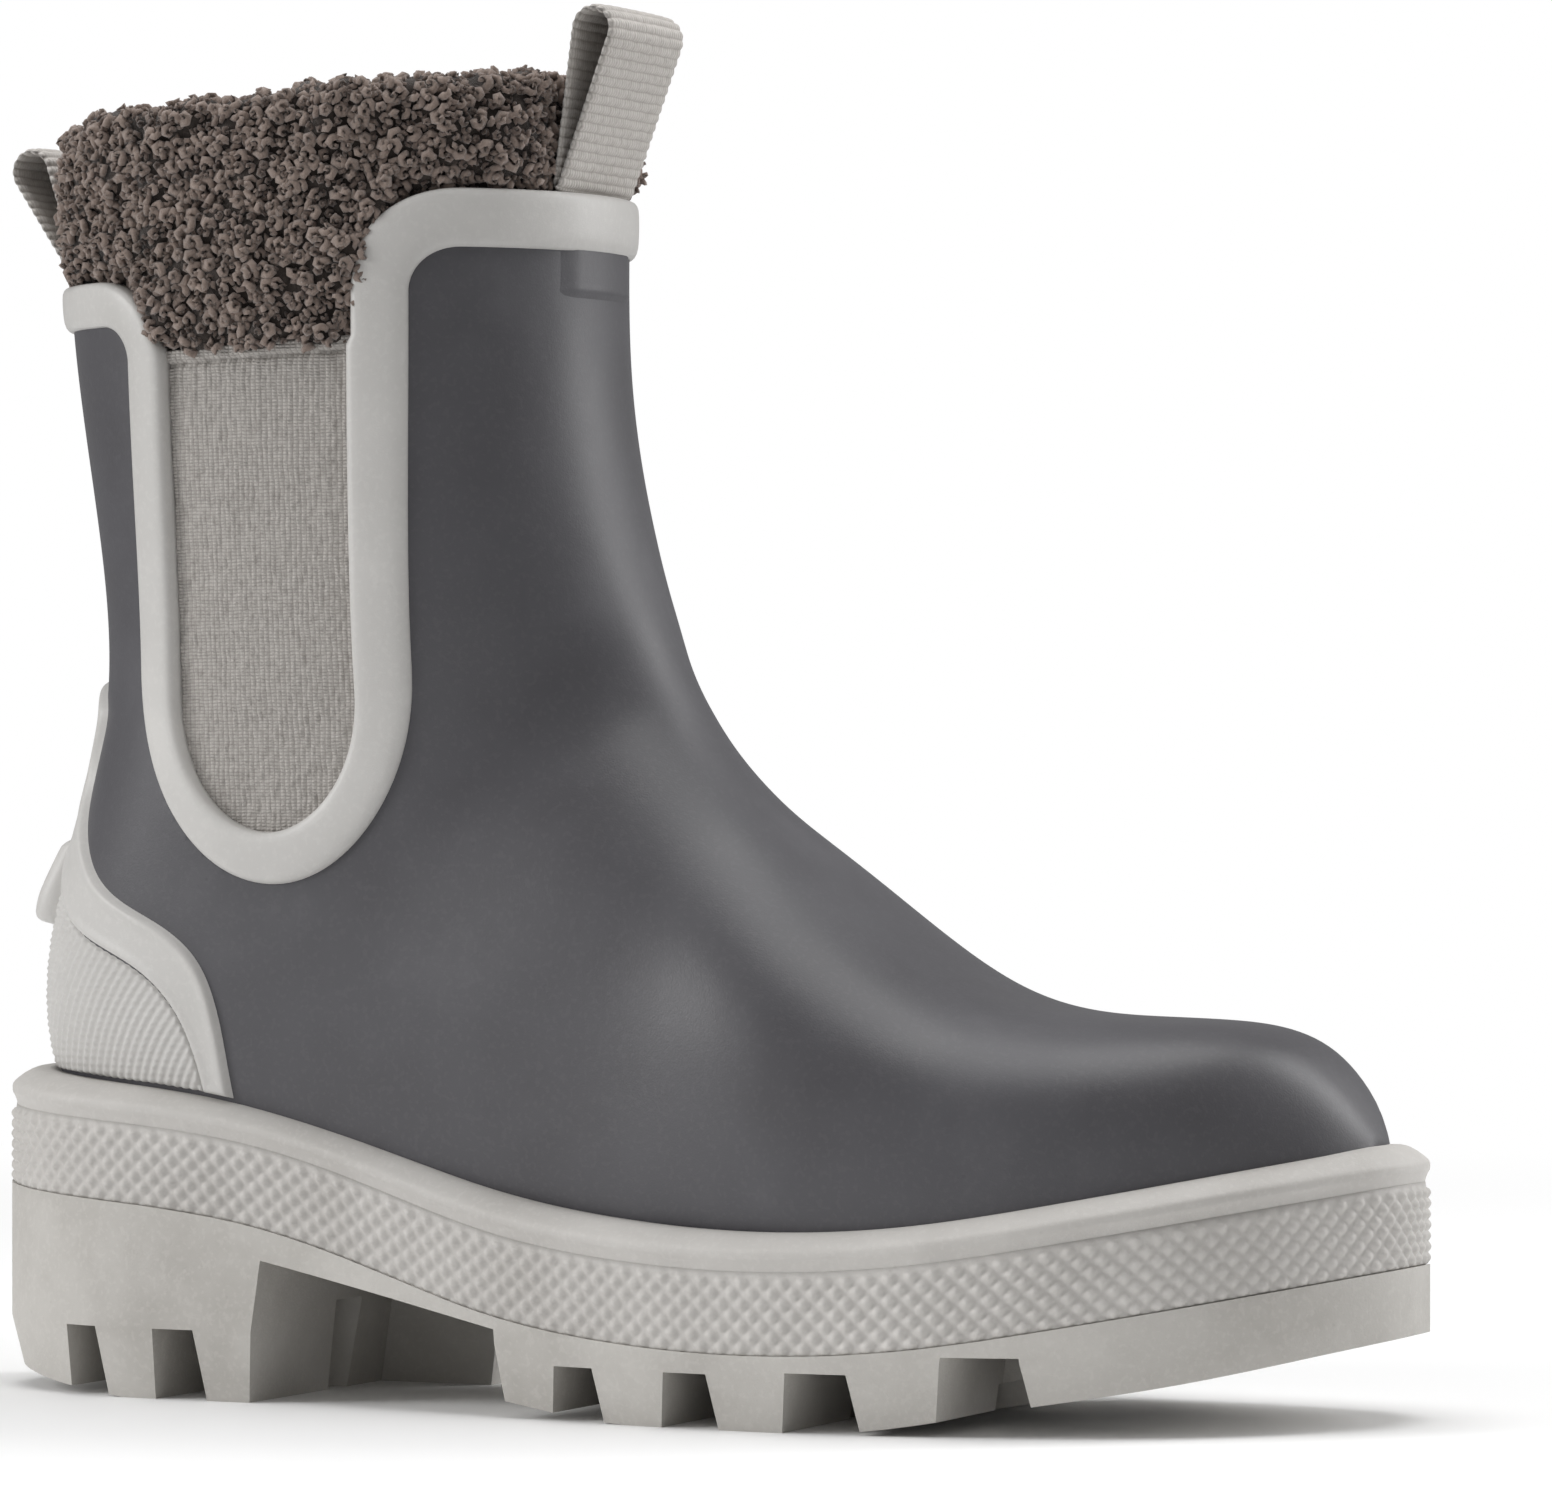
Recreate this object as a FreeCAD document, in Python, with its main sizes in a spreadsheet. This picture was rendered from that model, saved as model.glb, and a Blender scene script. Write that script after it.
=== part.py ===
import FreeCAD, Part
import math
import os

from FreeCAD import Vector

doc = FreeCAD.newDocument("deck_boot")

# Driving dimensions, millimetres and degrees. +X is the toe, +Y the inner side of the foot and
# +Z up; the origin lies on the ground under the middle of the boot.
sheet = doc.addObject("Spreadsheet::Sheet", "dims")
DIMENSIONS = (
    ("sole_length", 290.0),
    ("sole_width", 103.0),
    ("sole_draft", 3.5),         # how far the tread edge is tucked in under the side wall
    ("draft_height", 14.0),      # height over which it is tucked in
    ("lug_depth", 10.6),
    ("heel_lug_depth", 14.0),
    ("welt_height", 4.8),
    ("welt_width", 5.8),         # step from the sole's edge to the upper
    ("welt_bevel", 3.0),
    ("groove_height", 2.4),
    ("groove_depth", 1.5),
    ("foxing_height", 15.4),
    ("foxing_thick", 3.0),
    ("rubber_thick", 2.0),
    ("guard_thick", 1.5),
    ("trim_thick", 1.8),         # how proud the collar trim stands of the rubber
    ("trim_front", 11.3),        # width of the collar trim, in front of the gore
    ("trim_rear", 8.8),          # behind it
    ("trim_low", 10.0),          # and round the bottom of it
    ("gore_thick", 1.2),
    ("gore_width", 40.0),
    ("gore_middle", -71.5),      # x of the gore's centre line
    ("gore_low", 111.0),         # lowest point of the gore opening
    ("gore_bowl", 27.0),         # height of the opening's elliptical lower end
    ("trim_bowl", 42.0),         # the same for the outer edge of the trim round it
    ("gore_high", 205.6),
    ("gore_margin", 6.0),        # gore hidden behind the trim
    ("rim_front", 235.0),
    ("rim_back", 218.5),
    ("cuff_low", 192.0),
    ("cuff_front", 259.0),
    ("cuff_back", 250.0),
    ("cuff_gap", 4.2),           # outside of the rubber to the fleece
    ("cuff_thick", 6.0),
    ("lining_thick", 3.0),
    ("lining_gap", 3.7),
    ("board_thick", 2.2),
    ("footbed_thick", 6.0),
    ("fleece_thick", 2.5),
    ("shank_length", 104.0),
    ("shank_width", 17.0),
    ("shank_thick", 1.6),
    ("webbing_thick", 1.5),
    ("front_tab_width", 34.0),
    ("front_tab_height", 37.0),
    ("front_tab_lean", 14.0),
    ("rear_tab_width", 30.0),
    ("rear_tab_height", 31.5),
    ("rear_tab_lean", -26.0),
    ("ledge_width", 35.0),
)
for row, (alias, value) in enumerate(DIMENSIONS, start=1):
    sheet.set(f"A{row}", alias)
    sheet.set(f"B{row}", str(value))
    sheet.setAlias(f"B{row}", alias)
doc.recompute()
dim = {alias: float(sheet.get(alias)) for alias, value in DIMENSIONS}

GAP = 0.05                       # clearance between skins of one body
HALF_SPAN = 80.0                 # half the width of every tool that runs through the boot
pieces = []


def add_piece(label, shape):
    """Keeps a free-form solid as a feature of the document."""
    feature = doc.addObject("Part::Feature", label)
    feature.Label = label
    feature.Shape = shape
    feature.Placement = FreeCAD.Placement()
    pieces.append(feature)
    return feature


def smooth(points):
    """Open smooth curve through points given as (x, z) in the boot's middle plane."""
    curve = Part.BSplineCurve()
    curve.interpolate([Vector(x, 0, z) for x, z in points])
    return curve


def line(start, end):
    return Part.makeLine(Vector(start[0], 0, start[1]), Vector(end[0], 0, end[1]))


def arc(centre, radius, start, end):
    """Arc in the middle plane, from one angle to another in degrees, +X towards +Z."""
    cx, cz = centre
    points = []
    for angle in (start, (start + end) / 2, end):
        turn = math.radians(angle)
        points.append(Vector(cx + radius * math.cos(turn), 0, cz + radius * math.sin(turn)))
    return Part.Arc(*points).toShape()


def bowl(middle, turn, half, drop):
    """Lower half of an ellipse in the middle plane, drop deep and twice half wide."""
    ellipse = Part.Ellipse(Vector(middle, 0, turn - drop), Vector(middle + half, 0, turn),
                           Vector(middle, 0, turn))
    return Part.ArcOfEllipse(ellipse, -math.pi / 2, math.pi / 2).toShape()


def across(edges, low=-HALF_SPAN, high=HALF_SPAN):
    """Prism of a closed outline in the middle plane, from y = low to y = high."""
    face = Part.Face(Part.Wire(edges))
    face.translate(Vector(0, low, 0))
    return face.extrude(Vector(0, high - low, 0))


def polygon(points):
    closed = list(points) + [points[0]]
    return [line(a, b) for a, b in zip(closed, closed[1:])]


def box(x_low, x_high, y_low, y_high, z_low, z_high):
    corner = Vector(x_low, y_low, z_low)
    return Part.makeBox(x_high - x_low, y_high - y_low, z_high - z_low, corner)


# --- Sole: plan outline and the line along its top edge ---------------------------------------

# Half outlines as fractions of the sole's length and width, from the heel to the toe tip.
OUTER_EDGE = ((-0.5, 0.0), (-0.474, -0.20), (-0.400, -0.335), (-0.270, -0.362), (-0.138, -0.398),
              (-0.017, -0.456), (0.083, -0.495), (0.160, -0.499), (0.245, -0.470), (0.330, -0.396),
              (0.410, -0.255), (0.470, -0.070), (0.498, 0.080))
INNER_EDGE = ((0.500, 0.175), (0.490, 0.300), (0.457, 0.400), (0.392, 0.462), (0.295, 0.494),
              (0.205, 0.500), (0.103, 0.466), (0.0, 0.405), (-0.120, 0.352), (-0.260, 0.345),
              (-0.390, 0.338), (-0.470, 0.215))
PLAN_POINTS = 72

outline = Part.BSplineCurve()
outline.interpolate([Vector(u * dim["sole_length"], v * dim["sole_width"], 0)
                     for u, v in OUTER_EDGE + INNER_EDGE], PeriodicFlag=True)


def plan_points(inset):
    """Points round the sole's outline, moved inwards by inset."""
    first = outline.FirstParameter
    last = outline.LastParameter
    points = []
    for step in range(PLAN_POINTS):
        at = first + (last - first) * step / PLAN_POINTS
        along = outline.tangent(at)[0]
        points.append(outline.value(at) + Vector(-along.y, along.x, 0) * inset)
    return points


def plan_wire(inset, height):
    curve = Part.BSplineCurve()
    curve.interpolate([p + Vector(0, 0, height) for p in plan_points(inset)], PeriodicFlag=True)
    return Part.Wire(curve.toShape())


def plan_block(inset, low=-1.0, high=110.0):
    """Upright block on the sole's outline, moved inwards by inset."""
    face = Part.Face(plan_wire(inset, low))
    return face.extrude(Vector(0, 0, high - low))


def plan_span(x, inset):
    """Lowest and highest y of the outline, moved inwards by inset, at a given x."""
    points = plan_points(inset)
    found = []
    for a, b in zip(points, points[1:] + points[:1]):
        if (a.x - x) * (b.x - x) < 0:
            found.append(a.y + (b.y - a.y) * (x - a.x) / (b.x - a.x))
    return min(found), max(found)


WELT_LINE = ((-150, 64.0), (-112, 61.5), (-77, 57.5), (-48, 50.0), (-22, 42.6), (8, 38.2),
             (40, 37.0), (66, 38.6), (92, 42.6), (118, 47.4), (150, 53.5))


def level(offset):
    """Line along the boot, offset upwards from the top of the welt."""
    return smooth([(x, z + offset) for x, z in WELT_LINE])


def band(low, high):
    """Everything between two levels, as a prism through the boot."""
    lower = level(low)
    upper = level(high)
    ends = [(curve.value(curve.FirstParameter), curve.value(curve.LastParameter))
            for curve in (lower, upper)]
    edges = [lower.toShape(), upper.toShape(),
             Part.makeLine(ends[0][0], ends[1][0]), Part.makeLine(ends[0][1], ends[1][1])]
    return across(Part.__sortEdges__(edges))


LEVEL_TOP = 0.0
LEVEL_WELT = -dim["welt_height"]
LEVEL_GROOVE = LEVEL_WELT - dim["groove_height"]
LEVEL_FOXING = LEVEL_GROOVE - dim["foxing_height"]
LEVEL_CUP = LEVEL_FOXING + 5.0   # the outsole is thicker inside the foxing band
LEVEL_BOARD = LEVEL_GROOVE + dim["board_thick"]
LEVEL_FOOTBED = LEVEL_BOARD + dim["footbed_thick"]
LEVEL_FLEECE = LEVEL_FOOTBED + dim["fleece_thick"]


# --- Foot and shaft: one closed form, swept from the toe over the heel to the cuff -------------

# The foot is cut by upright planes. Each row is x and the height of the ridge there.
FOOT_RIDGE = ((139.0, 51.4), (136.8, 57.0), (132.9, 63.6), (127.8, 69.8), (121.0, 74.2),
              (111.0, 76.0), (96.0, 76.6), (80.0, 77.6), (66.0, 81.4), (51.0, 90.6), (36.0, 103.2))
FOOT_BASE = 22.0
TOE_SQUARENESS = 0.5             # how much boxier the toe's sections are than the ankle's
# The ankle and shaft are cut by planes that fan round the instep.
# Each row is the front point x, z, the back point x, z, the half width and the middle y.
LEG_STATIONS = (
    (20.0, 116.6, -6.0, 20.0, 38.5, -2.5),
    (10.2, 127.0, -48.0, 29.0, 36.5, -2.5),
    (5.0, 134.5, -92.0, 40.0, 36.0, -1.6),
    (2.0, 139.8, -130.0, 52.0, 36.5, -1.0),
    (-0.8, 145.0, -137.0, 78.0, 37.5, -0.5),
    (-3.6, 151.5, -131.0, 103.0, 39.2, 0.0),
    (-7.2, 160.5, -122.6, 129.0, 41.0, 0.0),
    (-10.8, 172.5, -121.2, 152.0, 42.4, 0.0),
    (-14.2, 188.0, -124.2, 178.0, 43.8, 0.0),
    (-16.2, 207.0, -127.8, 203.0, 44.8, 0.0),
    (-16.2, 235.0, -129.6, 227.0, 45.2, 0.0),
    (-16.2, 266.0, -130.0, 258.0, 44.6, 0.0),
)
SECTION_POINTS = 32
SWEEP_POINTS = 44


def stations(depth):
    """Rows of front point, back point, half width, middle y and squareness at either end."""
    rows = []
    tip = FOOT_RIDGE[0][0]
    for x, ridge in FOOT_RIDGE:
        low, high = plan_span(x, dim["welt_width"])
        slide = Vector(-depth * max(0.0, (x - 80.0) / (tip - 80.0)), 0, 0)
        squareness = 2.25 + TOE_SQUARENESS * min(1.0, (x - FOOT_RIDGE[-1][0]) / 44.0)
        rows.append((Vector(x, 0, ridge) + slide, Vector(x, 0, FOOT_BASE) + slide,
                     (high - low) / 2, (high + low) / 2, squareness, 4.0))
    for number, (fx, fz, bx, bz, half, middle) in enumerate(LEG_STATIONS):
        share = min(1.0, (number + 1) / 4)
        rows.append((Vector(fx, 0, fz), Vector(bx, 0, bz), half, middle,
                     2.25, 4.0 + (2.3 - 4.0) * share))
    return rows


def section(depth, front, back, half, middle, front_power, back_power):
    """Points round a closed rounded outline, in the plane of the two points and Y."""
    inward = (back - front).normalize() * depth
    start = back - inward
    chord = front + inward - start
    width = half - min(depth, half * 0.8)
    points = []
    for step in range(SECTION_POINTS):
        turn = 2 * math.pi * step / SECTION_POINTS
        ahead = math.cos(turn)
        aside = math.sin(turn)
        power = front_power if ahead >= 0 else back_power
        along = 0.5 + 0.5 * math.copysign(abs(ahead) ** (2 / power), ahead)
        out = math.copysign(abs(aside) ** (2 / power), aside)
        points.append(start + chord * along + Vector(0, middle + width * out, 0))
    return points


def sweep_marks():
    """Distance travelled at each station, the mean over all points of the outer form."""
    rings = [section(0.0, *row) for row in stations(0.0)]
    marks = [0.0]
    for ring, following in zip(rings, rings[1:]):
        steps = [a.distanceToPoint(b) for a, b in zip(ring, following)]
        marks.append(marks[-1] + sum(steps) / len(steps))
    return marks


def boot_form(depth):
    """The boot's outer form, moved inwards by depth, as one smooth closed solid."""
    rings = [section(depth, *row) for row in stations(depth)]
    marks = sweep_marks()
    net = []
    for column in zip(*rings):
        curve = Part.BSplineCurve()
        curve.interpolate(Points=list(column), Parameters=marks)
        net.append([curve.value(marks[-1] * step / (SWEEP_POINTS - 1))
                    for step in range(SWEEP_POINTS)])
    poles = [list(row) for row in zip(*net)]
    skin = Part.BSplineSurface()
    sweep_knots = list(range(SWEEP_POINTS - 2))
    skin.buildFromPolesMultsKnots(
        poles, [4] + [1] * (len(sweep_knots) - 2) + [4], [1] * (SECTION_POINTS + 1),
        sweep_knots, list(range(SECTION_POINTS + 1)), False, True, 3, 3)
    side = skin.toShape()
    rims = [edge for edge in side.Edges if edge.isClosed()]
    caps = [Part.Face(Part.Wire(edge)) for edge in rims]
    shell = Part.makeShell([side] + caps)
    shell.sewShape()
    return Part.makeSolid(shell)


forms = {}


def form(depth):
    """The boot form at a depth, made once."""
    if depth not in forms:
        forms[depth] = boot_form(depth)
    return forms[depth]


def layer(outside, inside):
    """Skin of the boot between two depths."""
    return form(outside).cut(form(inside))


# --- Side-view outlines ------------------------------------------------------------------------

gore_half = dim["gore_width"] / 2
gore_front = dim["gore_middle"] + gore_half
gore_back = dim["gore_middle"] - gore_half
gore_turn = dim["gore_low"] + dim["gore_bowl"]  # height where the lower end begins
FRONT_CORNER = 20.0              # radius of the front panel's top corner
BACK_CORNER = 16.0
FRONT_END = 20.0                 # ends of the side-view outlines, outside the boot
BACK_END = -160.0
ABOVE = 300.0


def collar_outline(front_width, rear_width, low_width, drop):
    """Line of the rim and the gore opening, moved into the panels by the given widths."""
    front_centre = (gore_front + FRONT_CORNER, dim["rim_front"] - FRONT_CORNER)
    back_centre = (gore_back - BACK_CORNER, dim["rim_back"] - BACK_CORNER)
    front_radius = FRONT_CORNER - front_width
    back_radius = BACK_CORNER - rear_width
    front_top = front_centre[1] + front_radius
    back_top = back_centre[1] + back_radius
    right = gore_front + front_width
    left = gore_back - rear_width
    turn = dim["gore_low"] - low_width + drop
    return [
        line((FRONT_END, front_top), (front_centre[0], front_top)),
        arc(front_centre, front_radius, 90, 180),
        line((right, front_centre[1]), (right, turn)),
        bowl((left + right) / 2, turn, (right - left) / 2, drop),
        line((left, turn), (left, back_centre[1])),
        arc(back_centre, back_radius, 0, 90),
        line((back_centre[0], back_top), (BACK_END, back_top)),
        line((BACK_END, back_top), (BACK_END, ABOVE)),
        line((BACK_END, ABOVE), (FRONT_END, ABOVE)),
        line((FRONT_END, ABOVE), (FRONT_END, front_top)),
    ]


def slanted(low_front, low_back, high_front, high_back):
    """Prism between two slanted lines, each given by its height at the front and the back."""
    front = gore_front + 40
    back = gore_back - 60
    return across(polygon([(front, low_front), (front, high_front),
                           (back, high_back), (back, low_back)]))


def below(offset):
    """Everything under a level."""
    return band(offset - 120.0, offset)


def above(offset, high=110.0):
    return band(offset, offset + high)


collar_hole = across(collar_outline(0.0, 0.0, 0.0, dim["gore_bowl"]))
collar_area = across(collar_outline(dim["trim_front"], dim["trim_rear"], dim["trim_low"],
                                    dim["trim_bowl"]))
outer_half = box(-200, 200, -HALF_SPAN, 0, -10, ABOVE)
inner_half = box(-200, 200, 0, HALF_SPAN, -10, ABOVE)
FLAT_START = 14.0                # the forefoot rests on the ground between these
FLAT_END = 50.0
GROUND = -5.0
sole_ground = across([
    smooth([(-34.0, 5.2), (-19.0, 3.4), (-3.0, 1.0), (FLAT_START, 0.0)]).toShape(),
    line((FLAT_START, 0.0), (FLAT_END, 0.0)),
    smooth([(FLAT_END, 0.0), (70.0, 2.4), (86.0, 5.3), (112.0, 9.6), (132.0, 14.0),
            (150.0, 18.6)]).toShape(),
    line((150.0, 18.6), (150.0, GROUND)),
    line((150.0, GROUND), (-34.0, GROUND)),
    line((-34.0, GROUND), (-34.0, 5.2))])


# --- Sole ----------------------------------------------------------------------------------------

HEEL_BREAST = -78.0
BREAST_TOP = (-73.0, 28.0)
ARCH_END_OUTER = (-19.0, 17.0)
ARCH_END_INNER = (-34.0, 19.6)
HEEL_WING_TOP = (-50.0, 22.8)    # the heel block reaches further forward on the inner side
HEEL_WING_START = 22.0
SIDE_LUG = 25.0                  # length of the side lugs, inwards from the edge
SPINE_HALF = 16.0                # half width of the row of lugs along the middle


def tread_gap(low_start, low_end, high_start, high_end, low, high, y_low, y_high):
    """Gap between two lugs: a prism that narrows upwards."""
    return across(polygon([(low_start, low), (low_end, low), (high_end, high),
                           (high_start, high)]), y_low, y_high)


def sole_body():
    """Outsole blank with its draft: the tread edge is tucked in under the side wall."""
    tread = plan_wire(dim["sole_draft"], 0.0)
    start = plan_wire(0.0, dim["draft_height"])
    lower = Part.makeLoft([tread, start], True, True)
    return lower.fuse(plan_block(0.0, dim["draft_height"]))


def tread_cutters():
    """Everything that is taken off the underside of the outsole."""
    cutters = [sole_ground]
    cutters.append(across(polygon([(HEEL_BREAST, GROUND), BREAST_TOP, ARCH_END_OUTER,
                                   (-17, GROUND)]), -HALF_SPAN, 6.0))
    cutters.append(across(polygon([(HEEL_BREAST, GROUND), BREAST_TOP, ARCH_END_INNER,
                                   (-31, GROUND)]), 6.0, HEEL_WING_START))
    cutters.append(across(polygon([(-53, GROUND), HEEL_WING_TOP, ARCH_END_INNER,
                                   (-31, GROUND)]), HEEL_WING_START, HALF_SPAN))
    cutters.append(across(polygon([(-160, 7.5), (-124, 2.2), (-106, 0), (-106, -5), (-160, -5)])))
    # gaps between the side lugs, by the x range at the ground and at the root
    deep = dim["lug_depth"]
    for start, end, low in ((-8, 5.6, 0.0), (16.5, 30.6, 0.0), (42, 59, 0.8), (72, 91, 4.5)):
        cutters.append(tread_gap(start, end, start + 2.5, end - 2.5, low - 6, low + deep,
                                 -HALF_SPAN, -HALF_SPAN + 36 + SIDE_LUG + 4))
        cutters.append(tread_gap(start - 9, end - 9, start - 6.5, end - 11.5, low - 6,
                                 low + deep, HALF_SPAN - 40 - SIDE_LUG, HALF_SPAN))
    for start, end in ((-119.5, -108.5), (-98.5, -86.0)):
        for y_low, y_high in ((-HALF_SPAN, -13.0), (13.0, HALF_SPAN)):
            cutters.append(tread_gap(start, end, start + 1.5, end - 2.0, -6,
                                     dim["heel_lug_depth"], y_low, y_high))
    # grooves along the foot, either side of the middle row, and across that row
    for side in (-1, 1):
        centre = side * SPINE_HALF + 1.5
        cutters.append(across(polygon([(-40, -6), (-40, 7), (70, 7), (100, 14), (100, -6)]),
                              centre - 2.2, centre + 2.2))
    for start in (4.0, 27.0, 50.0):
        groove = tread_gap(start - 2.4, start + 2.4, start - 1.2, start + 1.2, -6, 7.5,
                           -SPINE_HALF, SPINE_HALF + 3)
        cutters.append(groove)
    # notch in the front face of the heel
    notch = Part.makePolygon([Vector(-66, -7, -1), Vector(-85, 3, -1), Vector(-66, 13, -1),
                              Vector(-66, -7, -1)])
    cutters.append(Part.Face(notch).extrude(Vector(0, 0, 19)))
    return cutters


def outsole():
    body = sole_body()
    rim = body.common(below(LEVEL_FOXING))
    core = plan_block(dim["foxing_thick"], 2.0).common(below(LEVEL_CUP))
    core = core.common(above(LEVEL_FOXING - 2.0, 60.0))
    return rim.fuse(core).cut(tread_cutters()).removeSplitter()


def foxing_band():
    ring = plan_block(0.0, 2.0).cut(plan_block(dim["foxing_thick"], 1.0, 120.0))
    return ring.common(band(LEVEL_FOXING, LEVEL_GROOVE))


def welt_strip():
    """Bevelled strip on the sole's edge, over a narrow groove."""
    groove = plan_block(dim["groove_depth"], 2.0).common(band(LEVEL_GROOVE, LEVEL_WELT))
    cap = plan_block(0.0, 2.0).common(band(LEVEL_WELT, LEVEL_TOP))
    bevel = dim["welt_bevel"]
    steps = plan_block(-1.0, 2.0)
    count = 3
    for step in range(count):
        inset = bevel * 1.6 * (step + 1) / count
        low = LEVEL_TOP - bevel * (count - step) / count
        ring = steps.cut(plan_block(inset, 1.0, 120.0))
        cap = cap.cut(ring.common(band(low + bevel / count / 2, LEVEL_TOP + 1.0)))
    return groove.fuse(cap).cut(form(-GAP)).removeSplitter()


def midsole():
    return plan_block(dim["foxing_thick"] + GAP, 2.0).common(band(LEVEL_CUP, LEVEL_GROOVE))


def shank():
    """Flat steel spring let into the midsole under the arch."""
    strip = band(LEVEL_GROOVE - 0.4 - dim["shank_thick"], LEVEL_GROOVE - 0.4)
    half = dim["shank_width"] / 2
    low = -30.0 - dim["shank_length"] / 2
    blank = box(low, low + dim["shank_length"], -half - 2, half - 2, 0, 100)
    ends = Part.makeCylinder(half, 100, Vector(low + half, -2, 0))
    ends = ends.fuse(Part.makeCylinder(half, 100, Vector(low + dim["shank_length"] - half, -2, 0)))
    middle = box(low + half, low + dim["shank_length"] - half, -half - 2, half - 2, 0, 100)
    return strip.common(blank).common(ends.fuse(middle))


def inside_slab(depth, low, high):
    """Flat layer that fills the boot form, moved inwards by depth, between two levels."""
    return form(depth).common(band(low, high))


# --- Upper -----------------------------------------------------------------------------------------

GUARD_EDGE = ((-80.0, 50.0), (-83.5, 77.0), (-87.5, 86.0), (-95.5, 92.5), (-112.0, 101.5),
              (-117.5, 110.0), (-118.0, 124.0), (-114.5, 135.0), (-118.0, 140.0),
              (-150.0, 141.0))
PANEL_EDGE = ((-88.0, 50.0), (-90.0, 68.0), (-93.5, 75.5), (-100.0, 82.0), (-110.0, 87.0),
              (-119.0, 91.5), (-124.5, 97.5), (-127.5, 106.0), (-150.0, 107.0))


def guard_outline(points):
    curve = smooth(points)
    start = points[0]
    end = points[-1]
    return across([curve.toShape(), line(end, (end[0] - 10, end[1])),
                   line((end[0] - 10, end[1]), (end[0] - 10, start[1])),
                   line((end[0] - 10, start[1]), start)])


def upper_shell():
    skin = layer(0.0, dim["rubber_thick"]).common(above(LEVEL_GROOVE + GAP, 260.0))
    return skin.cut(collar_area)


def guard_band():
    skin = layer(-dim["guard_thick"], 0.0).common(above(LEVEL_TOP + GAP))
    return skin.common(guard_outline(GUARD_EDGE)).cut(guard_outline(PANEL_EDGE))


def guard_panel():
    skin = layer(-dim["guard_thick"] * 0.6, 0.0).common(above(LEVEL_TOP + GAP))
    return skin.common(guard_outline(PANEL_EDGE))


def kick_ledge():
    wedge = across(polygon([(-120, 109), (-133.0, 108.5), (-139.4, 98.0), (-139.2, 94.0),
                            (-137.0, 92.5), (-120, 92.5)]),
                   -dim["ledge_width"] / 2, dim["ledge_width"] / 2)
    return wedge.cut(form(-dim["guard_thick"] - GAP)).common(form(-6.0))


def collar_trim(half):
    ring = collar_area.cut(collar_hole)
    return layer(-dim["trim_thick"], dim["rubber_thick"]).common(ring).common(half)


def gore(half):
    margin = dim["gore_margin"]
    outer = dim["rubber_thick"] + GAP
    panel = across([
        line((gore_back - margin, dim["gore_high"] - 1.5), (gore_back - margin, gore_turn)),
        bowl(dim["gore_middle"], gore_turn, gore_half + margin, dim["gore_bowl"] + margin),
        line((gore_front + margin, gore_turn), (gore_front + margin, dim["gore_high"] + 1.5)),
        line((gore_front + margin, dim["gore_high"] + 1.5),
             (gore_back - margin, dim["gore_high"] - 1.5))])
    return layer(outer, outer + dim["gore_thick"]).common(panel).common(half)


def cuff():
    depth = dim["cuff_gap"]
    zone = slanted(dim["cuff_low"], dim["cuff_low"], dim["cuff_front"], dim["cuff_back"])
    return layer(depth, depth + dim["cuff_thick"]).common(zone)


LINING_STEP = 104.0              # height where the foot lining meets the shaft lining


def shaft_lining():
    depth = dim["lining_gap"]
    zone = box(-200, 200, -HALF_SPAN, HALF_SPAN, LINING_STEP, dim["cuff_low"] - 0.2)
    return layer(depth, depth + dim["lining_thick"]).common(zone)


def foot_lining():
    depth = dim["lining_gap"]
    zone = box(-200, 200, -HALF_SPAN, HALF_SPAN, 0, LINING_STEP - 0.2)
    skin = layer(depth, depth + dim["lining_thick"]).common(zone)
    return skin.common(above(LEVEL_BOARD + 0.1))


def toe_puff():
    outer = dim["rubber_thick"] + GAP
    zone = box(98, 160, -HALF_SPAN, HALF_SPAN, 0, 100)
    return layer(outer, outer + 1.2).common(zone).common(above(LEVEL_BOARD + 0.1))


def heel_counter():
    outer = dim["rubber_thick"] + GAP
    zone = across([smooth([(-70, 40), (-78, 78), (-104, 98), (-150, 108)]).toShape(),
                   line((-150, 108), (-150, 40)), line((-150, 40), (-70, 40))])
    return layer(outer, outer + 1.2).common(zone).common(above(LEVEL_BOARD + 0.1))


# --- Pull tabs: loops of webbing hinged on the line where they leave the rim --------------------

LOOP_RADIUS = 5.0                # outside of the loop's round top


def rim_point(rim_height, front):
    """Middle of the webbing where it leaves the collar, as (x, z)."""
    depth = dim["rubber_thick"] + GAP + dim["webbing_thick"] / 2
    probe = Part.makeLine(Vector(-70, 0, rim_height), Vector(60 if front else -200, 0, rim_height))
    inside = form(depth).common(probe)
    x = inside.BoundBox.XMax if front else inside.BoundBox.XMin
    return x, rim_height


def drop_outline(base, lean, height, base_radius, top_radius):
    """Teardrop round two circles: a small one at the base and a large one at the top."""
    turn = math.radians(lean)
    span = height - top_radius
    axis = Vector(math.sin(turn), math.cos(turn), 0)
    side = Vector(axis.y, -axis.x, 0)
    foot = Vector(base[0], base[1], 0)
    head = foot + axis * span
    slope = math.asin((top_radius - base_radius) / span)
    normals = [side * (sign * math.cos(slope)) - axis * math.sin(slope) for sign in (1, -1)]
    low = [foot + normal * base_radius for normal in normals]
    high = [head + normal * top_radius for normal in normals]
    return [
        Part.LineSegment(low[0], high[0]),
        Part.Arc(high[0], head + axis * top_radius, high[1]),
        Part.LineSegment(high[1], low[1]),
        Part.Arc(low[1], foot - axis * base_radius, low[0]),
    ]


def origin_plane(body, role):
    return [item for item in body.Origin.OriginFeatures if item.Role == role][0]


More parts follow.
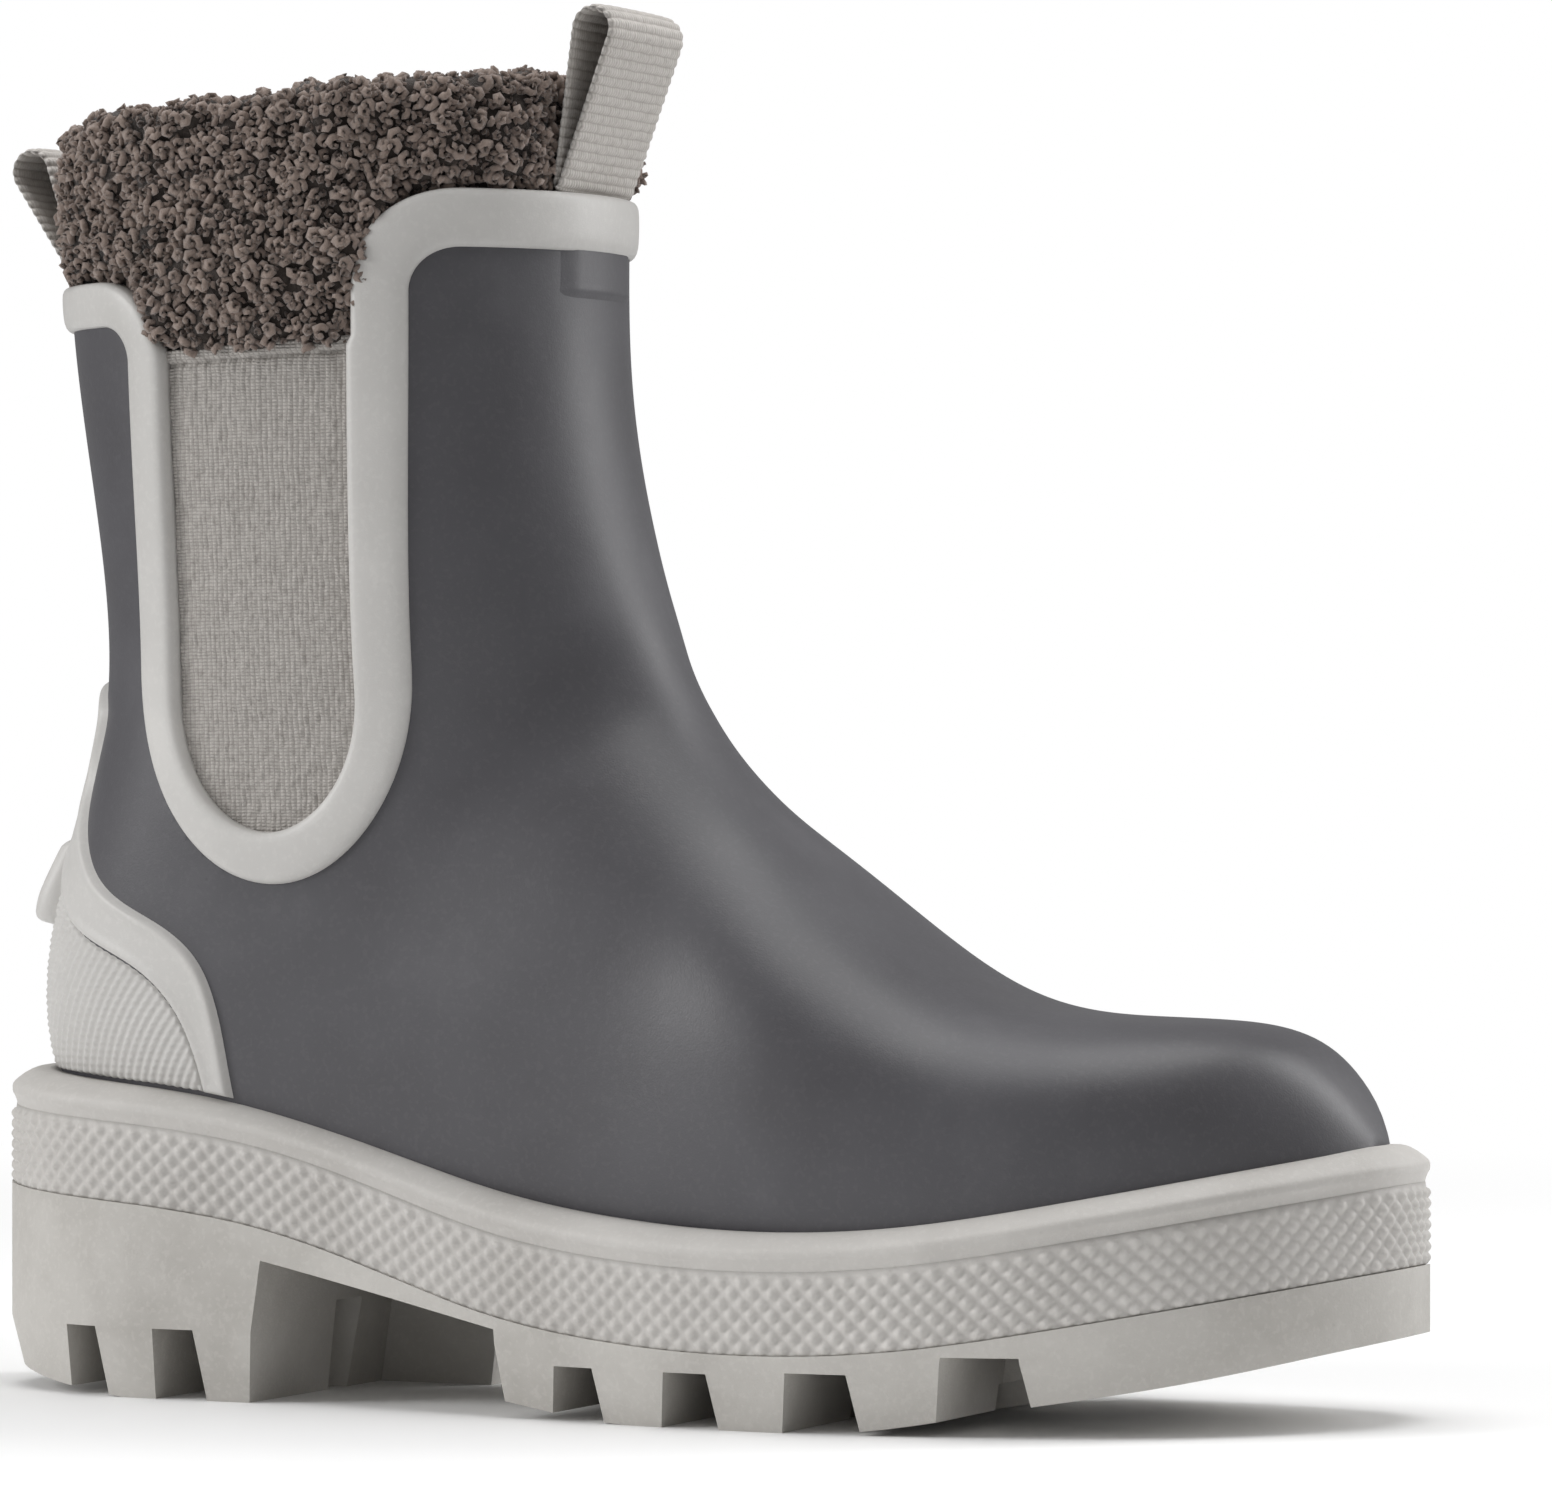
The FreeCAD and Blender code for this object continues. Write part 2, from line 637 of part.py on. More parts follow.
def pull_tab(label, base, lean, height, width_alias):
    """Loop of webbing: a teardrop with a smaller one cut out, padded to the webbing's width."""
    thick = dim["webbing_thick"]
    body = doc.addObject("PartDesign::Body", label)
    body.Label = label
    sketch = body.newObject("Sketcher::SketchObject", label + "_profile")
    sketch.AttachmentSupport = [(origin_plane(body, "XZ_Plane"), "")]
    sketch.MapMode = "FlatFace"
    low = thick * 0.62
    foot = (base[0], base[1] + low + 0.35)
    sketch.addGeometry(drop_outline(foot, lean, height - low, low, LOOP_RADIUS), False)
    turn = math.radians(lean)
    rise = 2.6
    hole = (foot[0] + rise * math.sin(turn), foot[1] + rise * math.cos(turn))
    sketch.addGeometry(drop_outline(hole, lean, height - low - rise - thick, 0.3,
                                    LOOP_RADIUS - thick), False)
    pad = body.newObject("PartDesign::Pad", label + "_pad")
    pad.Profile = sketch
    pad.SideType = "Symmetric"
    pad.setExpression("Length", f"dims.{width_alias}")
    pieces.append(body)
    return body


def tab_anchor(half_width, low, high, front):
    """Webbing tail between the rubber and the lining, under a pull tab."""
    outer = dim["rubber_thick"] + GAP
    zone = box(-60, 60, -half_width, half_width, low, high) if front else \
        box(-190, -90, -half_width, half_width, low, high)
    return layer(outer, outer + dim["webbing_thick"]).common(zone)


def tab_patch(half_width, low, high, front):
    """Raised oblong in the rubber, where the webbing's end lies under it."""
    zone = box(-60, 60, -half_width, half_width, low, high) if front else \
        box(-190, -90, -half_width, half_width, low, high)
    return layer(-0.9, 0.0).common(zone)


front_base = rim_point(dim["rim_front"], True)
rear_base = rim_point(dim["rim_back"], False)

add_piece("outsole", outsole())
add_piece("foxing_band", foxing_band())
add_piece("welt_strip", welt_strip())
add_piece("midsole", midsole().cut(shank()))
add_piece("shank", shank())
add_piece("insole_board", inside_slab(dim["rubber_thick"] + GAP, LEVEL_GROOVE + GAP, LEVEL_BOARD))
add_piece("footbed", inside_slab(dim["lining_gap"] + dim["lining_thick"] + 0.2,
                                 LEVEL_BOARD + GAP, LEVEL_FOOTBED))
add_piece("footbed_cover", inside_slab(dim["lining_gap"] + dim["lining_thick"] + 0.2,
                                       LEVEL_FOOTBED + GAP, LEVEL_FLEECE))
add_piece("upper_shell", upper_shell())
add_piece("heel_guard_band", guard_band())
add_piece("heel_guard_panel", guard_panel())
add_piece("kick_ledge", kick_ledge())
add_piece("lateral_collar_trim", collar_trim(outer_half))
add_piece("medial_collar_trim", collar_trim(inner_half))
add_piece("lateral_gore", gore(outer_half))
add_piece("medial_gore", gore(inner_half))
add_piece("fleece_cuff", cuff())
add_piece("shaft_lining", shaft_lining())
add_piece("foot_lining", foot_lining())
add_piece("toe_puff", toe_puff())
add_piece("heel_counter", heel_counter())
front_half = dim["front_tab_width"] / 2
rear_half = dim["rear_tab_width"] / 2
add_piece("front_tab_anchor", tab_anchor(front_half, 208.0, dim["rim_front"], True))
add_piece("rear_tab_anchor", tab_anchor(rear_half, 195.0, dim["rim_back"], False))
add_piece("front_tab_patch", tab_patch(front_half, dim["rim_front"] - 20.5,
                                       dim["rim_front"] - dim["trim_front"] - 0.4, True))
add_piece("rear_tab_patch", tab_patch(rear_half, dim["rim_back"] - 20,
                                      dim["rim_back"] - dim["trim_rear"] - 2.3, False))
pull_tab("front_pull_tab", front_base, dim["front_tab_lean"], dim["front_tab_height"],
         "front_tab_width")
pull_tab("rear_pull_tab", rear_base, dim["rear_tab_lean"], dim["rear_tab_height"],
         "rear_tab_width")

doc.recompute()
for item in doc.Objects:
    if "Invalid" in item.State or "Error" in item.State:
        raise RuntimeError(f"{item.Label} did not compute")
for item in pieces:
    if item.Shape.isNull() or not item.Shape.isValid():
        raise RuntimeError(f"{item.Label} has no valid shape")

os.makedirs("parts", exist_ok=True)
for item in pieces:
    bounds = item.Shape.BoundBox
    print(f"{item.Label:22s} {item.Shape.Volume:12.1f} mm3  solids {len(item.Shape.Solids)}  "
          f"x {bounds.XMin:.1f}..{bounds.XMax:.1f}  y {bounds.YMin:.1f}..{bounds.YMax:.1f}  "
          f"z {bounds.ZMin:.1f}..{bounds.ZMax:.1f}")
    item.Shape.exportStep(os.path.join("parts", item.Label + ".step"))
print("front tab base", front_base, "rear tab base", rear_base)
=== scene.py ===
import math

import bpy
import bmesh
import numpy as np
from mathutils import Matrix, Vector, noise
from mathutils.bvhtree import BVHTree


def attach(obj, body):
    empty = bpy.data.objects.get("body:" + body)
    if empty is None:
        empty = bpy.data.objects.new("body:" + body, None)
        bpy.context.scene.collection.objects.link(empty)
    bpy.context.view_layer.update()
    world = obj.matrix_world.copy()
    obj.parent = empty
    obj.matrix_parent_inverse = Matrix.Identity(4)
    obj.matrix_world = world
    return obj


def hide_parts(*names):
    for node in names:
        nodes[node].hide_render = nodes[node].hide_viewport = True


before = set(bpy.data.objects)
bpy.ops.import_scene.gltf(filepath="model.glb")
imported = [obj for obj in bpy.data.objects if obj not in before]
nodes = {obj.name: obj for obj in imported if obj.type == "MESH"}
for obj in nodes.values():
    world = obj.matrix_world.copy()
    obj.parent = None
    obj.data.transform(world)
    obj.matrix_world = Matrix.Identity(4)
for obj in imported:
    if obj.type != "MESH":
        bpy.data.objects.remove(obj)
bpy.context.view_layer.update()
print("frame loaded:", len(nodes), "nodes")

mm = 0.001


# ---- smooth curves and the boot's own form, in millimetres

def splineSlopes(marks, values, closed=False):
    # slopes of a curve with continuous curvature through values at marks
    marks = np.asarray(marks, float)
    values = np.asarray(values, float)
    count = len(marks)
    gaps = np.diff(marks)
    rises = (np.diff(values, axis=0).T / gaps).T
    system = np.zeros((count, count))
    right = np.zeros_like(values)
    for i in range(1, count - 1):
        system[i, i - 1] = gaps[i]
        system[i, i] = 2 * (gaps[i - 1] + gaps[i])
        system[i, i + 1] = gaps[i - 1]
        right[i] = 3 * (gaps[i] * rises[i - 1] + gaps[i - 1] * rises[i])
    if closed:
        system[0, 0] = 1
        system[0, -1] = -1
        system[-1, 0] = system[-1, -1] = gaps[0] + gaps[-1]
        system[-1, 1] = gaps[-1]
        system[-1, -2] = gaps[0]
        right[-1] = 3 * (gaps[0] * rises[-1] + gaps[-1] * rises[0])
    else:
        for row, near in ((0, slice(0, 4)), (count - 1, slice(count - 4, count))):
            powers = np.vander(marks[near] - marks[row], 4, increasing=True)
            system[row, row] = 1
            right[row] = np.linalg.solve(powers, values[near])[1]
    return np.linalg.solve(system, right)


def splineAt(marks, values, slopes, wanted):
    marks = np.asarray(marks, float)
    values = np.asarray(values, float)
    wanted = np.asarray(wanted, float)
    cell = np.clip(np.searchsorted(marks, wanted, side="right") - 1, 0, len(marks) - 2)
    gap = marks[cell + 1] - marks[cell]
    t = (wanted - marks[cell]) / gap
    shape = (-1,) + (1,) * (values.ndim - 1)
    a = (2 * t**3 - 3 * t**2 + 1).reshape(shape)
    b = ((t**3 - 2 * t**2 + t) * gap).reshape(shape)
    c = (3 * t**2 - 2 * t**3).reshape(shape)
    d = ((t**3 - t**2) * gap).reshape(shape)
    return a * values[cell] + b * slopes[cell] + c * values[cell + 1] + d * slopes[cell + 1]


def runningLength(points):
    # distance along a line of points, from its first
    steps = np.linalg.norm(np.diff(points, axis=0), axis=1)
    return np.concatenate([[0], np.cumsum(steps)])


def smoothCurve(points, count, closed=False):
    points = np.asarray(points, float)
    if closed:
        points = np.vstack([points, points[:1]])
    marks = runningLength(points)
    slopes = splineSlopes(marks, points, closed)
    wanted = np.linspace(0, marks[-1], count, endpoint=not closed)
    return splineAt(marks, points, slopes, wanted)


soleSizes = {"length": 290.0, "width": 103.0}
outerEdge = ((-0.5, 0.0), (-0.474, -0.20), (-0.400, -0.335), (-0.270, -0.362), (-0.138, -0.398),
             (-0.017, -0.456), (0.083, -0.495), (0.160, -0.499), (0.245, -0.470), (0.330, -0.396),
             (0.410, -0.255), (0.470, -0.070), (0.498, 0.080))
innerEdge = ((0.500, 0.175), (0.490, 0.300), (0.457, 0.400), (0.392, 0.462), (0.295, 0.494),
             (0.205, 0.500), (0.103, 0.466), (0.0, 0.405), (-0.120, 0.352), (-0.260, 0.345),
             (-0.390, 0.338), (-0.470, 0.215))
weltLine = ((-150, 64.0), (-112, 61.5), (-77, 57.5), (-48, 50.0), (-22, 42.6), (8, 38.2),
            (40, 37.0), (66, 38.6), (92, 42.6), (118, 47.4), (150, 53.5))
planScale = np.array([soleSizes["length"], soleSizes["width"]])


def planOutline(count):
    # points round the sole's edge and their inward directions
    edge = smoothCurve(np.array(outerEdge + innerEdge) * planScale, count * 8, closed=True)
    loop = np.vstack([edge, edge[:1]])
    marks = runningLength(loop)
    wanted = np.linspace(0, marks[-1], count, endpoint=False)
    even = np.column_stack([np.interp(wanted, marks, loop[:, k]) for k in (0, 1)])
    along = np.roll(even, -1, axis=0) - np.roll(even, 1, axis=0)
    along /= np.linalg.norm(along, axis=1)[:, None]
    return even, np.column_stack([-along[:, 1], along[:, 0]]), marks[-1]


weltCurve = smoothCurve(weltLine, 900)


def weltHeight(x):
    return np.interp(x, weltCurve[:, 0], weltCurve[:, 1])


footRidge = ((139.0, 51.4), (136.8, 57.0), (132.9, 63.6), (127.8, 69.8), (121.0, 74.2),
             (111.0, 76.0), (96.0, 76.6), (80.0, 77.6), (66.0, 81.4), (51.0, 90.6), (36.0, 103.2))
footBase = 22.0
toeSquareness = 0.5
# front x, z, back x, z, half width and middle y of each section of the ankle and shaft
legStations = (
    (20.0, 116.6, -6.0, 20.0, 38.5, -2.5),
    (10.2, 127.0, -48.0, 29.0, 36.5, -2.5),
    (5.0, 134.5, -92.0, 40.0, 36.0, -1.6),
    (2.0, 139.8, -130.0, 52.0, 36.5, -1.0),
    (-0.8, 145.0, -137.0, 78.0, 37.5, -0.5),
    (-3.6, 151.5, -131.0, 103.0, 39.2, 0.0),
    (-7.2, 160.5, -122.6, 129.0, 41.0, 0.0),
    (-10.8, 172.5, -121.2, 152.0, 42.4, 0.0),
    (-14.2, 188.0, -124.2, 178.0, 43.8, 0.0),
    (-16.2, 207.0, -127.8, 203.0, 44.8, 0.0),
    (-16.2, 235.0, -129.6, 227.0, 45.2, 0.0),
    (-16.2, 266.0, -130.0, 258.0, 44.6, 0.0),
)
sectionPoints = 32
sweepPoints = 44
upperInset = 5.8


def spanAt(x):
    # lowest and highest y of the sole's outline at x, moved in to the upper
    edge, inward, _ = planOutline(720)
    edge = edge + inward * upperInset
    following = np.roll(edge, -1, axis=0)
    crosses = (edge[:, 0] - x) * (following[:, 0] - x) < 0
    share = (x - edge[crosses, 0]) / (following[crosses, 0] - edge[crosses, 0])
    found = edge[crosses, 1] + (following[crosses, 1] - edge[crosses, 1]) * share
    return found.min(), found.max()


spans = [spanAt(x) for x, _ in footRidge]


def signedPower(value, power):
    return np.sign(value) * np.abs(value) ** power


def formRings(depth):
    rings = []
    tip = footRidge[0][0]
    rows = []
    for (x, ridge), (low, high) in zip(footRidge, spans):
        slide = -depth * max(0.0, (x - 80.0) / (tip - 80.0))
        squareness = 2.25 + toeSquareness * min(1.0, (x - footRidge[-1][0]) / 44.0)
        rows.append((x + slide, ridge, x + slide, footBase, (high - low) / 2, (high + low) / 2,
                     squareness, 4.0))
    for number, station in enumerate(legStations):
        share = min(1.0, (number + 1) / 4)
        rows.append(station + (2.25, 4.0 + (2.3 - 4.0) * share))
    turn = 2 * np.pi * np.arange(sectionPoints) / sectionPoints
    for fx, fz, bx, bz, half, middle, frontPower, backPower in rows:
        front = np.array([fx, 0, fz])
        back = np.array([bx, 0, bz])
        inward = (back - front) / np.linalg.norm(back - front) * depth
        start = back - inward
        chord = front + inward - start
        width = half - min(depth, half * 0.8)
        power = np.where(np.cos(turn) >= 0, frontPower, backPower)
        along = 0.5 + 0.5 * signedPower(np.cos(turn), 2 / power)
        out = signedPower(np.sin(turn), 2 / power)
        ring = start + along[:, None] * chord
        ring[:, 1] += middle + width * out
        rings.append(ring)
    return np.array(rings)


def sweepNet(depth):
    outer = formRings(0.0)
    steps = np.linalg.norm(np.diff(outer, axis=0), axis=2).mean(axis=1)
    marks = np.concatenate([[0], np.cumsum(steps)])
    rings = formRings(depth)
    slopes = splineSlopes(marks, rings.reshape(len(marks), -1)).reshape(rings.shape)
    return splineAt(marks, rings, slopes, np.linspace(0, marks[-1], sweepPoints))


def cubicWeights(at, count, closed):
    # uniform cubic B-spline weights; open ends are clamped
    weights = np.zeros((len(at), count))
    if closed:
        cell = np.floor(at).astype(int)
        t = at - cell
        parts = ((1 - t) ** 3 / 6, (3 * t**3 - 6 * t**2 + 4) / 6,
                 (-3 * t**3 + 3 * t**2 + 3 * t + 1) / 6, t**3 / 6)
        for k, part in enumerate(parts):
            weights[np.arange(len(at)), (cell + k - 1) % count] += part
        return weights
    last = count - 3
    knots = np.concatenate([[0] * 3, np.arange(last + 1), [last] * 3]).astype(float)
    inside = np.clip(at, 0, last - 1e-9)
    basis = np.array([(knots[i] <= inside) & (inside < knots[i + 1])
                      for i in range(len(knots) - 1)], float)
    for degree in (1, 2, 3):
        step = np.zeros((len(basis) - 1, len(at)))
        for i in range(len(step)):
            wide = knots[i + degree] - knots[i]
            beyond = knots[i + degree + 1] - knots[i + 1]
            if wide > 0:
                step[i] += (inside - knots[i]) / wide * basis[i]
            if beyond > 0:
                step[i] += (knots[i + degree + 1] - inside) / beyond * basis[i + 1]
        basis = step
    return basis.T


def formGrid(depth, rows, around, start=0.0):
    # the boot's form moved in by depth, as rows of points from the toe to the top
    sweep = np.linspace(start, sweepPoints - 3, rows)
    turn = np.linspace(0, sectionPoints, around, endpoint=False)
    return np.einsum("ai,ijk,bj->abk", cubicWeights(sweep, sweepPoints, False), sweepNet(depth),
                     cubicWeights(turn, sectionPoints, True))


def gridNormals(points, closeRows=False, closeCols=False):
    def slope(axis, closed):
        ahead = np.roll(points, -1, axis=axis) - np.roll(points, 1, axis=axis)
        if not closed:
            flat = np.gradient(points, axis=axis)
            ends = [slice(None)] * 3
            for edge in (0, -1):
                ends[axis] = edge
                ahead[tuple(ends)] = flat[tuple(ends)]
        return ahead
    normal = np.cross(slope(0, closeRows), slope(1, closeCols))
    return normal / np.maximum(np.linalg.norm(normal, axis=2), 1e-12)[:, :, None]


def gridFaces(rows, cols, closeRows=False, closeCols=False):
    i = np.arange(rows if closeRows else rows - 1)
    j = np.arange(cols if closeCols else cols - 1)
    i, j = np.meshgrid(i, j, indexing="ij")
    nextRow = (i + 1) % rows
    nextCol = (j + 1) % cols
    quads = np.stack([i * cols + j, nextRow * cols + j, nextRow * cols + nextCol,
                      i * cols + nextCol], axis=-1)
    return quads.reshape(-1, 4)


# the outer form as a fine net of triangles, for finding points on it
netRows, netAround = 330, 420
netPoints = formGrid(0.0, netRows, netAround)
netNormals = gridNormals(netPoints, closeCols=True).reshape(-1, 3)
netPoints = netPoints.reshape(-1, 3)
outwards = np.sign(((netPoints - netPoints.mean(axis=0)) * netNormals).sum())
netNormals = netNormals * outwards
netQuads = gridFaces(netRows, netAround, closeCols=True)
netTriangles = np.vstack([netQuads[:, [0, 1, 2]], netQuads[:, [0, 2, 3]]])
netTree = BVHTree.FromPolygons(netPoints.tolist(), netTriangles.tolist(), all_triangles=True)
legAxis = -73.0


def onForm(origins, directions):
    # where rays meet the outer form, and the smooth normals there; misses come back as nan
    places = np.full((len(origins), 3), np.nan)
    found = np.zeros(len(origins), int)
    for k, (origin, direction) in enumerate(zip(origins, directions)):
        place, _, index, _ = netTree.ray_cast(Vector(origin), Vector(direction))
        if place is not None:
            places[k] = place
            found[k] = index
    corners = netTriangles[found]
    a, b, c = (netPoints[corners[:, k]] for k in range(3))
    ab, ac, ap = b - a, c - a, places - a
    d00, d01, d11 = (ab * ab).sum(1), (ab * ac).sum(1), (ac * ac).sum(1)
    d20, d21 = (ap * ab).sum(1), (ap * ac).sum(1)
    under = np.maximum(d00 * d11 - d01 * d01, 1e-12)
    v = (d11 * d20 - d01 * d21) / under
    w = (d00 * d21 - d01 * d20) / under
    weights = np.stack([1 - v - w, v, w], axis=1)
    normals = (netNormals[corners] * weights[:, :, None]).sum(axis=1)
    normals /= np.maximum(np.linalg.norm(normals, axis=1), 1e-12)[:, None]
    return places, normals


def fromSide(x, z, side):
    # points on the outer side (side -1) or inner side (side 1) of the boot, seen from the side
    shape = np.shape(x)
    x, z = np.ravel(x), np.ravel(z)
    origins = np.column_stack([x, np.full(len(x), side * 200.0), z])
    directions = np.tile([0.0, -side, 0.0], (len(x), 1))
    places, normals = onForm(origins, directions)
    return places.reshape(shape + (3,)), normals.reshape(shape + (3,))


def fromAxis(turn, z):
    # points round the shaft and heel, by their angle about an upright line through the leg
    shape = np.shape(turn)
    turn, z = np.ravel(turn), np.ravel(z)
    out = np.column_stack([np.cos(turn), np.sin(turn), np.zeros(len(turn))])
    origins = np.array([legAxis, 0, 0]) + out * 220 + np.column_stack([0 * z, 0 * z, z])
    places, normals = onForm(origins, -out)
    return places.reshape(shape + (3,)), normals.reshape(shape + (3,))


def smoothStep(value, low, high):
    t = np.clip((value - low) / (high - low), 0, 1)
    return t * t * (3 - 2 * t)


print("boot form ready")


# ---- small building helpers

def addObject(name, data):
    item = bpy.data.objects.new(name, data)
    bpy.context.scene.collection.objects.link(item)
    return item


def shadeSmooth(mesh):
    mesh.polygons.foreach_set("use_smooth", [True] * len(mesh.polygons))


def newPiece(name, points, faces, material, faceAway=None):
    # a mesh from points in millimetres; its faces point away from faceAway, or outwards
    mesh = bpy.data.meshes.new(name)
    mesh.from_pydata((np.asarray(points).reshape(-1, 3) * mm).tolist(), [],
                     faces if isinstance(faces, list) else faces.tolist())
    mesh.update()
    piece = addObject(name, mesh)
    work = bmesh.new()
    work.from_mesh(mesh)
    bmesh.ops.remove_doubles(work, verts=work.verts, dist=2e-6)
    loose = [v for v in work.verts if not v.link_faces]
    bmesh.ops.delete(work, geom=loose, context="VERTS")
    if faceAway is None:
        bmesh.ops.recalc_face_normals(work, faces=work.faces)
    else:
        middle = Vector(faceAway) * mm
        agree = sum((f.calc_center_median() - middle).dot(f.normal) * f.calc_area()
                    for f in work.faces)
        if agree < 0:
            bmesh.ops.reverse_faces(work, faces=work.faces)
    work.to_mesh(mesh)
    work.free()
    shadeSmooth(mesh)
    mesh.materials.append(material)
    return piece


def thicken(piece, thick):
    # adds thickness on the inner side
    solid = piece.modifiers.new("thickness", "SOLIDIFY")
    solid.thickness = thick * mm
    solid.offset = -1.0
    solid.use_even_offset = False
    return piece


def dress(piece, body, slotName, *stoodFor):
    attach(piece, body)
    if stoodFor:
        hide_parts(*stoodFor)
    return piece


def lumpNoise(points, size, seed=0):
    # soft three-way noise between about -1 and 1
    shift = Vector((seed * 17.3, seed * 5.1, -seed * 9.7))
    return np.array([noise.noise(Vector(p) / size + shift) for p in points.reshape(-1, 3)]
                    ).reshape(points.shape[:-1]) * 1.6


# ---- shader groups

def addSockets(tree, side, sockets):
    # each label with its starting value, or with the name of its kind
    for label, value in sockets.items():
        kind = {str: value, int: "Int", float: "Float"}.get(type(value))
        kind = kind or {3: "Vector", 4: "Color"}[len(value)]
        socket = tree.interface.new_socket(label, in_out=side, socket_type="NodeSocket" + kind)
        if not isinstance(value, str):
            socket.default_value = value


def groupOf(name, inputs, outputs):
    group = bpy.data.node_groups.new(name, "ShaderNodeTree")
    addSockets(group, "INPUT", inputs)
    addSockets(group, "OUTPUT", outputs)
    return group, group.nodes.new("NodeGroupInput"), group.nodes.new("NodeGroupOutput")


def mathNode(tree, operation, a, b=None, c=None, clamp=False):
    node = tree.nodes.new("ShaderNodeMath")
    node.operation = operation
    node.use_clamp = clamp
    for socket, value in zip(node.inputs, (a, b, c)):
        if value is None:
            continue
        if isinstance(value, (int, float)):
            socket.default_value = value
        else:
            tree.links.new(value, socket)
    return node.outputs[0]


def rangeNode(tree, value, low, high, outLow, outHigh):
    node = tree.nodes.new("ShaderNodeMapRange")
    node.interpolation_type = "SMOOTHSTEP"
    tree.links.new(value, node.inputs["Value"])
    for label, number in (("From Min", low), ("From Max", high), ("To Min", outLow),
                          ("To Max", outHigh)):
        node.inputs[label].default_value = number
    return node.outputs["Result"]


def noiseNode(tree, vector, scale, detail=4.0, rough=0.55):
    node = tree.nodes.new("ShaderNodeTexNoise")
    node.inputs["Detail"].default_value = detail
    node.inputs["Roughness"].default_value = rough
    if isinstance(scale, (int, float)):
        node.inputs["Scale"].default_value = scale
    else:
        tree.links.new(scale, node.inputs["Scale"])
    tree.links.new(vector, node.inputs["Vector"])
    return node.outputs["Fac"]


def mixColours(tree, factor, a, b):
    node = tree.nodes.new("ShaderNodeMix")
    node.data_type = "RGBA"
    for socket, value in ((node.inputs[0], factor), (node.inputs[6], a), (node.inputs[7], b)):
        if isinstance(value, (int, float)):
            socket.default_value = value
        elif isinstance(value, (tuple, list)):
            socket.default_value = value
        else:
            tree.links.new(value, socket)
    return node.outputs[2]


def makeToneGroup():
    # a base colour with cloudy light and dark patches and fine flecks
    group, given, result = groupOf(
        "uneven tone",
        {"Vector": (0, 0, 0), "Base": (0.5, 0.5, 0.5, 1), "Dark": (0.3, 0.3, 0.3, 1),
         "Light": (0.7, 0.7, 0.7, 1), "Patch Scale": 20.0, "Fleck Scale": 900.0, "Strength": 0.5},
        {"Color": "Color", "Patches": "Float"})
    vector = given.outputs["Vector"]
    patches = noiseNode(group, vector, given.outputs["Patch Scale"], 5.0, 0.6)
    flecks = noiseNode(group, vector, given.outputs["Fleck Scale"], 2.0, 0.5)
    darkFactor = mathNode(group, "MULTIPLY", rangeNode(group, patches, 0.30, 0.56, 1.0, 0.0),
                          given.outputs["Strength"])
    lightFactor = mathNode(group, "MULTIPLY", rangeNode(group, patches, 0.52, 0.74, 0.0, 1.0),
                           given.outputs["Strength"])
    colour = mixColours(group, darkFactor, given.outputs["Base"], given.outputs["Dark"])
    colour = mixColours(group, lightFactor, colour, given.outputs["Light"])
    fleckFactor = mathNode(group, "MULTIPLY", rangeNode(group, flecks, 0.52, 0.66, 0.0, 0.35),
                           given.outputs["Strength"])
    colour = mixColours(group, fleckFactor, colour, given.outputs["Light"])
    group.links.new(colour, result.inputs["Color"])
    group.links.new(patches, result.inputs["Patches"])
    return group


def makeGrainGroup():
    # moulded-rubber skin: fine pebble, faint long flow marks and sparse pits, with a mask that
    # paints shade into the pits
    group, given, result = groupOf(
        "moulded grain",
        {"Vector": (0, 0, 0), "Grain Scale": 2600.0, "Flow Scale": 60.0, "Pits": 0.3},
        {"Height": "Float", "Pit Shade": "Float"})
    vector = given.outputs["Vector"]
    fine = noiseNode(group, vector, given.outputs["Grain Scale"], 3.0, 0.6)
    flow = noiseNode(group, vector, given.outputs["Flow Scale"], 3.0, 0.5)
    cells = group.nodes.new("ShaderNodeTexVoronoi")
    cells.inputs["Scale"].default_value = 340.0
    group.links.new(vector, cells.inputs["Vector"])
    pit = rangeNode(group, cells.outputs["Distance"], 0.06, 0.16, 1.0, 0.0)
    spare = noiseNode(group, vector, 90.0, 2.0, 0.5)
    pit = mathNode(group, "MULTIPLY", pit, rangeNode(group, spare, 0.56, 0.66, 0.0, 1.0))
    pit = mathNode(group, "MULTIPLY", pit, given.outputs["Pits"])
    height = mathNode(group, "MULTIPLY_ADD", flow, 2.2, fine)
    height = mathNode(group, "SUBTRACT", height, pit)
    group.links.new(height, result.inputs["Height"])
    group.links.new(pit, result.inputs["Pit Shade"])
    return group


